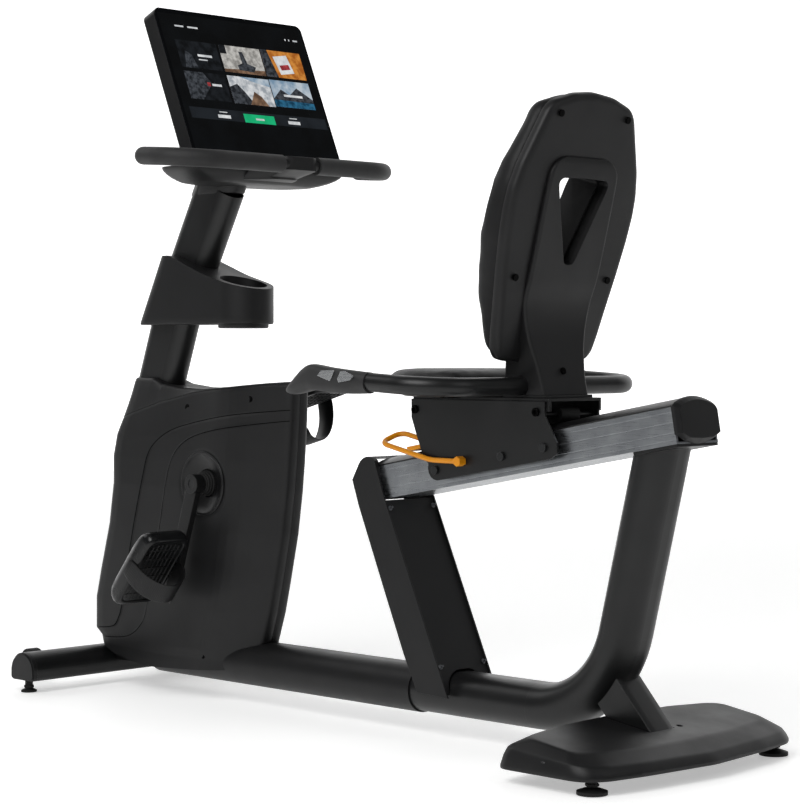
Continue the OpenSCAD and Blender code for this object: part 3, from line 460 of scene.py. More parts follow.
# The shroud closes the housing round the foot of the mast: one moulding with a rounded brim
# and a shallow saddle, dropped over both half shells.
brim = [(0, 0.5, 0.8), (0, 1.6, 0), (0.3, 0, 1), (0.6, 0, 2.2), (0.9, 0, 4), (1, -3, 5), (1, -1.2, 6.5),
        (1, 0, 9),
        (1, 0.6, 13)]
seam_here = heights[:, -1]
edge_here = np.interp(skin_y[:, -1], top_edge[:, 0], top_edge[:, 1])
shroud_rows = []
for share, lift, lean in brim:
    z = seam_here + (edge_here - seam_here) * share + lift
    x, y = housing_place(z[:, None])
    x, y = x[:, 0], y[:, 0]
    middle = np.stack([x * 0, np.clip(y, 110, 500)], axis=1)
    turn = np.stack([x, y], axis=1) - middle
    long = np.linalg.norm(turn, axis=1, keepdims=True)
    place = middle + turn * np.clip(1 - lean / np.maximum(long, 1), 0, 1)
    shroud_rows.append(np.column_stack([place, z]))
for inward in (0.66, 0.33, 0):
    flat = shroud_rows[8].copy()
    flat[:, 0] *= inward
    flat[:, 2] -= 2.5 * (1 - inward)
    shroud_rows.append(flat)
shroud_rows = np.array(shroud_rows)
whole = np.concatenate([shroud_rows, (shroud_rows * [-1, 1, 1])[:, ::-1][:, 1:]], axis=1)
shape("top_shroud_moulding", [at(*p) for p in whole.reshape(-1, 3)], grid_faces(*whole.shape[:2]), "frame",
      textured_abs, ("top_shroud",), "black_textured_plastic")


def turned(name, profile, centre, body, material, replaced=(), slot=None, steps=96, side=1):
    """A round part about an axle along X, from [radius, x] points."""
    points = [at(side * x, centre[0] + r * math.cos(2 * math.pi * k / steps),
                 centre[1] + r * math.sin(2 * math.pi * k / steps))
              for r, x in profile for k in range(steps)]
    return shape(name, points, grid_faces(len(profile), steps, wrap_columns=True), body, material, replaced,
                 slot, 30)


# Dished discs clip into the housing round the crank, each with a raised rim.
dish_profile = [(27, 44), (27, 57.4), (28.5, 58.6), (31, 59), (44, 64), (57, 69.2), (58.4, 70.9), (61, 71.4),
                (63.4, 71.2), (64.4, 70.2), (64.4, 60)]
boot_profile = [(9.4, 40), (9.4, 73), (10.5, 74.5), (17, 75), (19, 74), (19.6, 71), (21.5, 70.4), (22, 66),
                (23.5, 65.4), (24, 61), (25.5, 60.4), (26, 56), (26, 44)]
for side, word in ((1, "left"), (-1, "right")):
    turned(f"axle_boot_{word}", boot_profile, crank_place, "frame", black_rubber, (), "black_rubber", 64, side)
    turned(f"crank_dish_{word}", dish_profile, crank_place, "frame", smooth_abs,
           ("crank_covers",) if side == 1 else (), "black_textured_plastic", side=side)
    # These screw heads are drawn near black, which also paints the shade of their recesses in the housing.
    for count, (y, z, r) in enumerate(((285, 579, 6.5), (467, 598, 6.5), (337, 86, 4))):
        deep = skin_at(y, z)
        turned(f"housing_screw_{word}_{count + 1}",
               [(0.01, deep + 0.1), (r * 0.8, deep + 0.3), (r * 0.95, deep + 0.5), (r, deep - 2)],
               (y, z), "frame", black_screws_recess_shade, (), "plain_steel", 24, side)

# ---------------------------------------------------------------------------------------------
# Rear foot cover. One vacuum formed ABS pan over the cross member: a flat top that falls to the
# rear, steep flanks and small rounded edges, with a cut-out for the frame's gusset.
# ---------------------------------------------------------------------------------------------


def mirrored(half):
    """A whole outline from its left half, which starts and ends on the centre line."""
    return [tuple(p) for p in half] + [(-x, y) for x, y in reversed(half) if x != 0]


def soft_corners(outline, radius, steps=5):
    """Rounds every corner of a closed outline; the count of points doesn't depend on the shape."""
    outline = np.array(outline, float)
    back, on = np.roll(outline, 1, 0) - outline, np.roll(outline, -1, 0) - outline
    back_long, on_long = (np.linalg.norm(v, axis=1, keepdims=True) for v in (back, on))
    cut = np.minimum(radius, 0.48 * np.minimum(back_long, on_long))
    start, end = outline + back / back_long * cut, outline + on / on_long * cut
    t = np.linspace(0, 1, steps + 1)[None, :, None]
    curve = (1 - t) ** 2 * start[:, None] + 2 * t * (1 - t) * outline[:, None] + t * t * end[:, None]
    return curve.reshape(-1, 2)


def drawn_in(outline, amount):
    """The outline moved inwards by an amount in mm."""
    run = np.roll(outline, -1, 0) - np.roll(outline, 1, 0)
    area = np.sum(outline[:, 0] * np.roll(outline[:, 1], -1) - np.roll(outline[:, 0], -1) * outline[:, 1])
    normal = np.stack([run[:, 1], -run[:, 0]], axis=1) * (1 if area > 0 else -1)
    return outline - normal / np.maximum(np.linalg.norm(normal, axis=1, keepdims=True), 1e-6) * amount


def loft(name, rings, body, material, replaced=(), slot=None, sharp=35, closed=True):
    """A skin over rings of places that all have the same count, with both ends closed."""
    count = len(rings[0])
    faces = grid_faces(len(rings), count, wrap_columns=True)
    if closed:
        faces += [tuple(range(count)), tuple(range((len(rings) - 1) * count, len(rings) * count))]
    return shape(name, [p for ring in rings for p in ring], faces, body, material, replaced, slot, sharp)


def cut(piece, name, rings, operation="DIFFERENCE"):
    """Cuts a piece with a lofted form and keeps the result."""
    tool = loft(name, rings, "frame", piece.data.materials[0])
    with_modifiers(piece, ("BOOLEAN", {"object": tool, "operation": operation, "solver": "EXACT"}))
    bpy.data.objects.remove(tool)
    piece.data.set_sharp_from_angle(angle=math.radians(35))


def with_modifiers(piece, *steps):
    """Applies modifiers, each given as its kind and settings, and keeps the result."""
    for kind, settings in steps:
        step = piece.modifiers.new(kind.lower(), kind)
        for key, value in settings.items():
            setattr(step, key, value)
    bpy.context.view_layer.update()
    kept = bpy.data.meshes.new_from_object(piece.evaluated_get(bpy.context.evaluated_depsgraph_get()))
    piece.modifiers.clear()
    piece.data = kept


cover_base = soft_corners(mirrored([(0, 1302), (150, 1304), (250, 1311), (270, 1318), (277, 1332), (277, 1480),
                                    (265, 1504), (237, 1520), (160, 1534), (0, 1550)]), 14)
cover_top = soft_corners(mirrored([(0, 1332), (140, 1338), (225, 1354), (243, 1363), (252, 1376), (250, 1448),
                                   (241, 1464), (222, 1474), (120, 1489), (0, 1495)]), 14)
cover_rings = [[at(x, y, z) for x, y in drawn_in(cover_base, edge)]
               for z, edge in ((22.5, 2.2), (23.2, 0.6), (25, 0), (29, 0))]
for share, rise, edge in ((0.1, 0.3, 0), (0.2, 0.5, 0), (0.24, 0.56, 0), (0.32, 0.62, 0), (0.86, 0.93, 0),
                          (0.93, 0.965, 0), (1, 0.99, 0.8), (1, 1, 3.5), (1, 1, 8)):
    ring = cover_base * (1 - share) + drawn_in(cover_top, edge) * share
    level = 75 - (ring[:, 1] - 1368) * 0.142
    cover_rings.append([at(x, y, 29 + (z - 29) * rise) for (x, y), z in zip(ring, level)])


def round_line(x, y, r, z, count):
    """A level circle of places, for round holes and bosses."""
    return [at(x + r * math.cos(k * 2 * math.pi / count), y + r * math.sin(k * 2 * math.pi / count), z)
            for k in range(count)]


foot_cover = loft("rear_foot_cover", cover_rings, "frame", textured_abs, ("foot_cover",),
                  "black_textured_plastic", 40)
cut(foot_cover, "gusset_gap", [[at(x, y, z) for x, y in ((-33, 1345), (33, 1345), (33, 1437), (-33, 1437))]
                               for z in (26, 120)])
for side, word in ((1, "left"), (-1, "right")):
    turned(f"cover_screw_{word}", [(0.01, 269), (2, 269), (2.2, 273.4), (4.6, 273.8), (5.4, 273), (5.4, 266)],
           (1414, 41), "frame", plate_bolts, (), "plain_steel", 24, side)
cut(foot_cover, "cable_hole", [round_line(-52, 1432, 6, z, 20) for z in (50, 120)])

# The channel under the frame's bend is closed behind by a folded steel plate.
gusset_rows = []
for step in np.linspace(0, 168, 12):
    row = []
    for across, back in ((-30.6, 29.8), (-30, 30.6), (-29, 31), (-15, 31.4), (15, 31.4), (29, 31), (30, 30.6),
                         (30.6, 29.8)):
        row.append(at(across, 1326 + step * 0.669 + back * 0.743, 142 - step * 0.743 + back * 0.669))
    gusset_rows.append(row)
shape("gusset_plate", [p for row in gusset_rows for p in row], grid_faces(12, 8), "frame",
      satin_black_steel, (), "black_painted_steel", 40)

# ---------------------------------------------------------------------------------------------
# Cup holder. One ABS moulding clamped round the mast: a wedge at the front that leans back into
# a round cup behind, 94 mm across inside, with a rim that falls a little to the rear.
# ---------------------------------------------------------------------------------------------
cup_middle, cup_bore_r, cup_wall_r = 386, 47, 60
holder_rings = []
for z in (744, 745, 748, 760, 780, 810, 840, 860, 884):
    share = (z - 746) / 138
    front, half, deep = 160 + 62 * share, 65 - 8 * share, 47 - 1 * share
    tuck = 3 if z == 744 else 0.9 if z == 745 else 0
    turns = np.radians(np.linspace(-90, 90, 25))
    nose = [((half - tuck) * math.copysign(abs(math.sin(a)) ** 0.8, a),
             front - (deep - tuck) * abs(math.cos(a)) ** 0.8) for a in turns]
    cup = [((cup_wall_r - tuck) * math.sin(a), cup_middle + (cup_wall_r - tuck) * math.cos(a))
           for a in turns[::-1]]
    holder_rings.append([at(x, y, z) for x, y in nose + cup])
holder = loft("cup_holder_moulding", holder_rings, "frame", textured_abs, ("cup_holder",),
              "black_textured_plastic", 40)
top_line = [(60, 700), (60, 883), (222, 883), (232, 879.5), (318, 848), (336, 842), (470, 806), (470, 700)]
cut(holder, "sloping_top", [[at(x, y, z) for y, z in soft_corners(top_line, 8)] for x in (-90, 90)],
    "INTERSECT")
cut(holder, "cup_bore", [round_line(0, cup_middle, cup_bore_r, z, 96) for z in (752, 900)])
loft("cup_boss", [round_line(0, cup_middle, r, z, 64)
                  for r, z in ((46, 736), (49, 737), (50, 739), (50, 746))], "frame", textured_abs, (), "black_textured_plastic")

# ---------------------------------------------------------------------------------------------
# Console tray. A shallow ABS bowl under the screen with a hood over the top of the mast, and a
# chamfered block behind that clamps the two handles.
# ---------------------------------------------------------------------------------------------
tray_top = soft_corners(mirrored([(0, 322), (150, 330), (196, 372), (203, 420), (203, 452), (190, 470),
                                  (0, 476)]), 16)
tray_foot = soft_corners(mirrored([(0, 330), (90, 334), (138, 356), (152, 400), (148, 434), (128, 448),
                                   (0, 456)]), 16)
tray_rings = []
for z, share in ((1044.5, 1), (1044, 1), (1041, 1), (1037, 0.94), (1032, 0.8), (1026, 0.55), (1021, 0.25),
                 (1018, 0)):
    line = tray_top * share + tray_foot * (1 - share)
    tray_rings.append([at(x, y, z) for x, y in drawn_in(line, 1.2 if z == 1044.5 else 0)])
tray_rings.append([at(x, y, 1016.6) for x, y in drawn_in(tray_foot, 6)])
loft("console_tray", tray_rings, "frame", textured_abs, ("console_base",), "black_textured_plastic", 50)
hood_rings = []
for z, grow in ((1003, 0.4), (1003.4, 1.6), (1005, 2.4), (1030, 2.4), (1038, 2), (1043, -1), (1046, -8),
                (1047.4, -20)):
    middle = 207 + (z - 820) * 0.554
    hood_rings.append([at((29 + grow) * math.copysign(abs(math.cos(a)) ** 0.75, math.cos(a)),
                          middle + (66 + grow) * math.copysign(abs(math.sin(a)) ** 0.95, math.sin(a)), z)
                       for a in np.radians(np.arange(0, 360, 5))])
loft("mast_hood", hood_rings, "frame", textured_abs, (), "black_textured_plastic", 50)
block_wide = soft_corners(mirrored([(0, 440), (72, 440), (40, 556), (30, 562), (0, 562)]), 6)
block_slim = soft_corners(mirrored([(0, 446), (76, 446), (34, 508), (22, 514), (0, 514)]), 6)
loft("handle_block", [[at(x, y, z) for x, y in drawn_in(line, edge)] for z, line, edge in (
    (1022, block_slim, 4), (1023, block_slim, 1), (1026, block_slim, 0), (1038, block_wide, 0),
    (1060, block_wide, 0), (1063, block_wide, 1.2), (1064, block_wide, 4))], "frame", textured_abs, (),
     "black_textured_plastic", 40)

# ---------------------------------------------------------------------------------------------
# Screen. A sheet of dark cover glass over a bright panel, in a shallow ABS tray. The picture is
# a home page with six plain scenes, a start button and two readouts.
# ---------------------------------------------------------------------------------------------


def screen_at(u, v, n):
    """A place on the screen: u across and v up its glass, n out of it, in mm."""
    return at(-u, 475 - 0.394 * v + 0.919 * n, 1045 + 0.919 * v + 0.394 * n)


glass, tree, shader, place = start_material("dark_cover_glass")
shader.inputs["Base Color"].default_value = srgb("050608")
shader.inputs["IOR"].default_value = 1.5
shader.inputs["Specular IOR Level"].default_value = 0.1
worn_gloss(tree, shader, place, 0.12, 0.18, 70)
finish_nodes(glass, "screen_glass", "display_panel")


def lit_panel(name, dark, light, grain_mm, power=0.85):
    """Screen light: the picture's tones drift between two colours at the size given."""
    made, tree, shader, place = start_material(name)
    cloud = add(tree, "TexNoise", {"Vector": (place, "Object")},
                {"Scale": 1000 / grain_mm, "Detail": 3.0, "Roughness": 0.55})
    tone = add(tree, "ValToRGB", {"Fac": (cloud, "Fac")})
    tone.color_ramp.elements[0].position = 0.38
    tone.color_ramp.elements[0].color = srgb(dark)
    tone.color_ramp.elements[1].position = 0.62
    tone.color_ramp.elements[1].color = srgb(light)
    tree.links.new(tone.outputs["Color"], shader.inputs["Emission Color"])
    shader.inputs["Emission Strength"].default_value = power
    shader.inputs["Base Color"].default_value = srgb("050505")
    shader.inputs["Roughness"].default_value = 0.16
    shader.inputs["Specular IOR Level"].default_value = 0.06
    return made


picture_tones = {
    "home_page": lit_panel("lit_home_page", "08090a", "0c0e10", 60),
    "bar": lit_panel("lit_bar", "1b1e22", "22262b", 40),
    "start": lit_panel("lit_start_button", "16a56b", "1fbd7e", 30),
    "sky": lit_panel("lit_sky", "7c98b0", "c2cdd6", 25),
    "snow": lit_panel("lit_snow", "9fa6ad", "e2e4e6", 12),
    "rock": lit_panel("lit_rock", "1f2226", "4a4e54", 8),
    "wood": lit_panel("lit_wood", "5b4536", "8d6f58", 14),
    "linen": lit_panel("lit_linen", "8e8c88", "cdcbc6", 12),
    "shade": lit_panel("lit_shade", "0e1012", "1e2125", 16),
    "amber": lit_panel("lit_amber", "a85f22", "d99040", 14),
    "sea": lit_panel("lit_sea", "123a52", "2f6d8f", 12),
    "rose": lit_panel("lit_rose", "8c2f33", "c24a4c", 14),
    "words": lit_panel("lit_words", "c9cccf", "eef0f1", 20),
}
# tone, height over the glass, corners as (u, v)
picture = [
    ("home_page", 0.25, [(-186, 26), (186, 26), (186, 326), (-186, 326)]),
    ("bar", 0.3, [(-172, 99), (182, 99), (182, 123), (-172, 123)]),
    ("start", 0.35, [(-37, 99), (43, 99), (43, 118), (-37, 118)]),
    ("words", 0.4, [(-7, 106), (15, 106), (15, 110), (-7, 110)]),
    # dark scene with a lamp lit figure of gear on the left
    ("shade", 0.3, [(-160, 209), (-57, 209), (-57, 269), (-160, 269)]),
    ("rock", 0.35, [(-150, 209), (-118, 209), (-128, 240), (-142, 246)]),
    ("words", 0.38, [(-112, 236), (-76, 236), (-76, 241), (-112, 241)]),
    ("words", 0.38, [(-112, 228), (-90, 228), (-90, 230.5), (-112, 230.5)]),
    # pale room with a dark machine
    ("linen", 0.3, [(-51, 209), (56, 209), (56, 269), (-51, 269)]),
    ("wood", 0.33, [(-51, 209), (56, 209), (56, 220), (-51, 216)]),
    ("rock", 0.36, [(-12, 216), (26, 214), (34, 226), (14, 232), (8, 258), (-2, 258), (0, 232), (-14, 226)]),
    ("shade", 0.34, [(-51, 250), (-34, 250), (-34, 269), (-51, 269)]),
    # phone lying on a warm table
    ("amber", 0.3, [(58, 209), (165, 209), (165, 270), (58, 270)]),
    ("rock", 0.33, [(58, 209), (90, 209), (76, 270), (58, 270)]),
    ("words", 0.36, [(98, 216), (136, 222), (126, 262), (88, 256)]),
    ("rose", 0.39, [(103, 226), (128, 230), (125, 241), (100, 237)]),
    # night route on the left
    ("shade", 0.3, [(-160, 141), (-57, 141), (-57, 201), (-160, 201)]),
    ("rock", 0.34, [(-160, 141), (-128, 141), (-96, 178), (-112, 201), (-160, 201)]),
    ("rose", 0.38, [(-108, 172), (-100, 172), (-100, 180), (-108, 180)]),
    ("words", 0.38, [(-96, 173), (-72, 173), (-72, 178), (-96, 178)]),
    # snowy pass
    ("snow", 0.3, [(-51, 140), (57, 140), (57, 201), (-51, 201)]),
    ("rock", 0.34, [(-51, 140), (4, 140), (-14, 166), (-30, 184), (-51, 176)]),
    ("wood", 0.35, [(-8, 140), (40, 140), (26, 160), (10, 170)]),
    ("sky", 0.33, [(-20, 201), (57, 201), (57, 184), (22, 190)]),
    # mountain lake
    ("sky", 0.3, [(59, 142), (165, 142), (165, 202), (59, 202)]),
    ("rock", 0.34, [(59, 160), (84, 182), (104, 170), (128, 188), (165, 164), (165, 152), (59, 152)]),
    ("sea", 0.35, [(59, 142), (165, 142), (165, 156), (59, 158)]),
    ("words", 0.38, [(88, 166), (138, 166), (138, 171), (88, 171)]),
]
for u, v, wide, tall in ((-150, 298, 22, 3.5), (-118, 298, 26, 3.5), (136, 297, 3, 4), (146, 297, 3, 4),
                         (158, 297, 12, 3.5),
                         (-104, 104, 32, 7), (78, 104, 32, 7), (-98, 116, 20, 2), (84, 116, 20, 2)):
    picture.append(("words", 0.4, [(u, v), (u + wide, v), (u + wide, v + tall), (u, v + tall)]))
by_tone = {}
for tone, lift, corners in picture:
    by_tone.setdefault(tone, []).append((lift, corners))
for tone, patches in by_tone.items():
    points, faces = [], []
    for lift, corners in patches:
        faces.append(tuple(range(len(points), len(points) + len(corners))))
        points += [screen_at(u, v, lift) for u, v in corners]
    shape(f"picture_{tone}", points, faces, "frame", picture_tones[tone], (), "display_panel")

# ---------------------------------------------------------------------------------------------
# Backrest shell and column. The shell is a dished ABS panel; the column is a tapering ABS
# casing that runs up its back as a spine, and both are cut through by a triangular window.
# ---------------------------------------------------------------------------------------------


def back_at(x, v, n):
    """A place on the backrest: v up along it and n out of its rear face, in mm."""
    return at(x, 1220 + v * 0.2588 + n * 0.9659, 815 + v * 0.9659 - n * 0.2588)


back_outline = soft_corners(mirrored([(0, -152), (70, -151), (112, -147), (126, -132), (133, -100), (139, -60),
                                      (150, 5), (159, 70), (162, 115), (160, 150), (150, 192), (112, 286),
                                      (98, 301), (50, 316), (0, 321)]), 9, 6)
window_line = soft_corners(mirrored([(0, 26), (12, 28), (62, 158), (64, 168), (56, 175), (0, 177)]), 9, 4)
shell_rings = [[back_at(x, v, n) for x, v in drawn_in(back_outline, edge)]
               for n, edge in ((-26, 2.5), (-25.2, 0.7), (-24, 0), (-16, 0), (-12.5, 0.5), (-9.6, 2.2),
                               (-7.6, 5), (-6.4, 9), (-6, 14))]
back_shell = loft("back_shell_moulding", shell_rings, "seat", textured_abs, ("back_shell",),
                  "black_textured_plastic", 40)


def column_ring(z, half, rear, front):
    """One level of the column: flat behind, with rounded rear corners."""
    corner = min(13, half * 0.5)
    line = [(0, rear), (half - corner, rear), (half, rear), (half, rear - corner), (half, front), (0, front)]
    return [at(x, y, z) for x, y in soft_corners(mirrored(line), 11, 5)]


column_levels = np.array([[617, 58, 1228, 1133], [662, 62, 1217, 1136], [720, 75, 1206, 1152],
                          [772, 86, 1208, 1172], [815, 88.5, 1222.5, 1190], [870, 88.5, 1238, 1206],
                          [930, 88.5, 1253.5, 1222], [985, 87, 1268, 1236], [1001, 82, 1271.4, 1240],
                          [1011, 73, 1273, 1243], [1018, 60, 1272.6, 1245], [1021, 48, 1270, 1246]])
levels = flowing(column_levels, 70)
column = loft("column_casing", [column_ring(*level) for level in levels], "seat", textured_abs,
              ("seat_column",), "black_textured_plastic", 40)
window_cutter = [[back_at(x, v, n) for x, v in window_line] for n in (-60, 40)]
cut(back_shell, "window_in_shell", window_cutter)
cut(column, "window_in_column", window_cutter)

# ---------------------------------------------------------------------------------------------
# Seat and back cushions. Foam under a fine-grained black vinyl, sewn with a piped seam round
# the crowned face; the cover is drawn tight, so it swells a little between the edges.
# ---------------------------------------------------------------------------------------------
vinyl, tree, shader, place = start_material("grained_black_vinyl")
mottled(tree, shader, place, "0b0b0c", "101011", 70)
worn_gloss(tree, shader, place, 0.42, 0.56, 60)
hide = add(tree, "TexVoronoi", {"Vector": (place, "Object")}, {"Scale": 1000 / 2.2},
           feature="DISTANCE_TO_EDGE")
pores = add(tree, "TexNoise", {"Vector": (place, "Object")}, {"Scale": 1000 / 1.2, "Detail": 2.0})
puckers = add(tree, "TexNoise", {"Vector": (place, "Object")}, {"Scale": 1000 / 26, "Detail": 1.0})
relief(tree, shader, [((hide, "Distance"), 0.12), ((pores, "Fac"), 0.03), ((puckers, "Fac"), 0.5)], 1.5)
shader.inputs["Specular IOR Level"].default_value = 0.22
shader.inputs["Sheen Weight"].default_value = 0.04
shader.inputs["Sheen Roughness"].default_value = 0.5


def swollen(piece, cap_mm, voxel_mm=5.0):
    """Fills a closed cover with foam: it swells, but no point goes further than the cap."""
    with_modifiers(piece, ("REMESH", {"mode": "VOXEL", "voxel_size": voxel_mm / 1000}))
    start = np.array([v.co[:] for v in piece.data.vertices])
    cloth = piece.modifiers.new("cloth", "CLOTH")
    cloth.settings.use_pressure = True
    cloth.settings.uniform_pressure_force = 4
    cloth.settings.effector_weights.gravity = 0
    cloth.settings.quality = 4
    for count in range(1, 21):
        bpy.context.scene.frame_set(count)
    grown = bpy.data.meshes.new_from_object(piece.evaluated_get(bpy.context.evaluated_depsgraph_get()))
    piece.modifiers.clear()
    moved = np.array([v.co[:] for v in grown.vertices]) - start
    far = np.maximum(np.linalg.norm(moved, axis=1, keepdims=True), 1e-9)
    start = start + moved * np.minimum(1, cap_mm / 1000 / far)
    bpy.context.scene.frame_set(1)
    piece.data.vertices.foreach_set("co", start.ravel())
    with_modifiers(piece, ("SMOOTH", {"iterations": 24, "factor": 0.5}))
    piece.data.shade_smooth()


def piped(name, cover, path, radius_mm, body, material, slot):
    """A sewn cord that lies on a cover along a closed path of places."""
    from_cover = cover.closest_point_on_mesh
    spots = []
    for p in path:
        found, spot, normal, _ = from_cover(p)
        spots.append((spot, normal))
    rings = []
    for k, (spot, normal) in enumerate(spots):
        run = (spots[(k + 1) % len(spots)][0] - spots[k - 1][0]).normalized()
        side = run.cross(normal).normalized()
        rings.append([spot + (side * math.cos(a) + normal * math.sin(a)) * radius_mm / 1000
                      for a in [2 * math.pi * i / 8 for i in range(8)]])
    points = [p for ring in rings for p in ring]
    shape(name, points, grid_faces(len(rings), 8, True, True), body, material, (), slot, 60)


def cushion(name, place_of, outline, layers, cap_mm, node):
    """A crowned cushion from its outline and [height, draw in] layers."""
    rings = [[place_of(x, v, n) for x, v in drawn_in(outline, edge)] for n, edge in layers]
    piece = loft(name, rings, "seat", vinyl, (node,), "cushion_vinyl")
    swollen(piece, cap_mm)
    return piece


def lumbar_at(x, v, n):
    """A place on the back cushion, which is thickest at the small of the back."""
    depth = np.interp(v, [-152, -110, -40, 60, 150, 240, 322], [0.3, 0.5, 0.84, 1, 0.96, 0.8, 0.6])
    return back_at(x, v, -27 + (n + 27) * depth)


back_cushion = cushion("back_cushion_cover", lumbar_at, drawn_in(back_outline, 1.5),
                       [(-27.5, 3), (-29, 1), (-33, 0), (-46, 0), (-60, 0.6), (-70, 3), (-77, 8), (-81, 16),
                        (-83, 28)], 6, "back_cushion")
cushion_window = [[back_at(x, v, n) for x, v in drawn_in(window_line, 3)] for n in (-120, 0)]
cut(back_cushion, "window_in_cushion", cushion_window)
piped("back_cushion_piping", back_cushion, [lumbar_at(x, v, -76) for x, v in drawn_in(back_outline, 30)], 1.6,
      "seat", vinyl, "cushion_vinyl")

arc_of_seat = [(174 * math.cos(math.radians(a)), 1100 + 264 * math.sin(math.radians(a)))
               for a in range(-90, 1, 6)]
seat_line = soft_corners(mirrored(arc_of_seat + [(174, 1118), (168, 1127), (0, 1127)]), 8, 2)
seat_cushion = cushion("seat_cushion_cover", at, drawn_in(seat_line, 3),
                       [(630.6, 2), (632, 0.5), (635, 0), (644, 0), (648, 2), (652, 7), (655, 15), (656.5, 30),
                        (657, 50)], 4, "seat_cushion")
piped("seat_cushion_piping", seat_cushion, [at(x, y, 645) for x, y in drawn_in(seat_line, 2)], 1.6, "seat",
      vinyl, "cushion_vinyl")
pan_rings = [[at(x, y, z) for x, y in drawn_in(seat_line, edge)]
             for z, edge in ((612, 36), (612.6, 34), (615, 29), (621, 17), (626, 8), (628.5, 4.5), (629.8, 3.2),
                             (629.8, 6))]
loft("seat_pan_moulding", pan_rings, "seat", textured_abs, ("seat_pan",), "black_textured_plastic")

# ---------------------------------------------------------------------------------------------
# Seat grips. Each is a soft PVC moulding slid over the handle's end, swelling to a palm rest
# that turns down at the tip, with two steel pulse plates let into its side.
# ---------------------------------------------------------------------------------------------


def soft_grip(name, dark, light, cell_mm, depth_mm):
    """Foamed PVC: matt, with closed cells a millimetre or two across on its skin."""
    made, tree, shader, place = start_material(name)
    mottled(tree, shader, place, dark, light, 50)
    worn_gloss(tree, shader, place, 0.56, 0.7, 40)
    cells = add(tree, "TexVoronoi", {"Vector": (place, "Object")}, {"Scale": 1000 / cell_mm})
    relief(tree, shader, [((cells, "Distance"), depth_mm)], 1.0)
    shader.inputs["Sheen Weight"].default_value = 0.1
    return made


grip_foam = soft_grip("foamed_pvc_grip", "0c0c0d", "121213", 1.6, 0.06)
finish_nodes(grip_foam, "console_grips")
# distance from the front feet, top, bottom, half width, squareness
grip_stations = flowing([[1027, 656.5, 620.5, 18.3, 2.1], [1000, 658.5, 619.6, 19, 2.3], [968, 661, 619.5, 19.6, 2.8],
                         [930, 664.6, 621.5, 20, 3.2], [900, 668.6, 624, 20, 3.2], [884, 669.6, 623.6, 19.6, 2.9],
                         [868, 663.5, 620.6, 18.6, 2.6], [850, 650.5, 617.4, 16.6, 2.4], [834, 637.6, 616.6, 13.4, 2.2],
                         [824, 629.6, 618.6, 8.6, 2], [820.5, 624.6, 621.6, 2.4, 2]], 56)
for side, word in ((1, "left"), (-1, "right")):
    rings = []
    for y, top, bottom, half, square in grip_stations:
        ring = []
        for k in range(40):
            a = 2 * math.pi * k / 40
            c, s = math.cos(a), math.sin(a)
            ring.append(at(side * (275 + half * math.copysign(abs(c) ** (2 / square), c)), y,
                           (top + bottom) / 2 + (top - bottom) / 2 * math.copysign(abs(s) ** (2 / square), s)))
        rings.append(ring)
    loft(f"seat_grip_{word}", rings, "seat", grip_foam, ("seat_grips",) if side == 1 else (), "grip_foam", 50)

# Two socket screws hold each side plate to the channel above.
for side, word in ((1, "left"), (-1, "right")):
    for count, (y, z) in enumerate(((934, 588), (1221, 589))):
        turned(f"plate_screw_{word}_{count + 1}", [(0.01, 73), (3.4, 73), (3.6, 76.2), (6.6, 76.4), (7.4, 75.6),
                                                   (7.4, 71)], (y, z), "seat", black_screws_recess_shade, (), "plain_steel",
               24, side)

# ---------------------------------------------------------------------------------------------
# Adjusting lever. Bent steel rod under a thick amber powder coat that is a little glossier than
# the frame's.
# ---------------------------------------------------------------------------------------------
amber_coat = powder_coat("amber_powder_coat", "d9880c", "e8980f", (0.3, 0.38))
finish_nodes(amber_coat, "adjust_lever")

# ---------------------------------------------------------------------------------------------
# Cranks, pedals and straps. Forged steel arms; hollow nylon pedals with a raised rim round a
# ribbed tread; wide rubber straps, ridged across, that end in a smooth tab on the inner side.
# ---------------------------------------------------------------------------------------------
finish_nodes(satin_black_steel, "crank_arm_left", "crank_arm_right")
nylon = moulded("glass_filled_nylon", "0c0c0d", "111213", (0.24, 0.34), 1.3, 0.02, 2.0)
tread_rubber = moulded("pedal_tread_rubber", "0d0d0e", "131314", (0.5, 0.62), 1.3, 0.05, 0.5)
strap_rubber = moulded("soft_strap_rubber", "0e0e0f", "141415", (0.4, 0.5), 1.5, 0.04, 0.8)
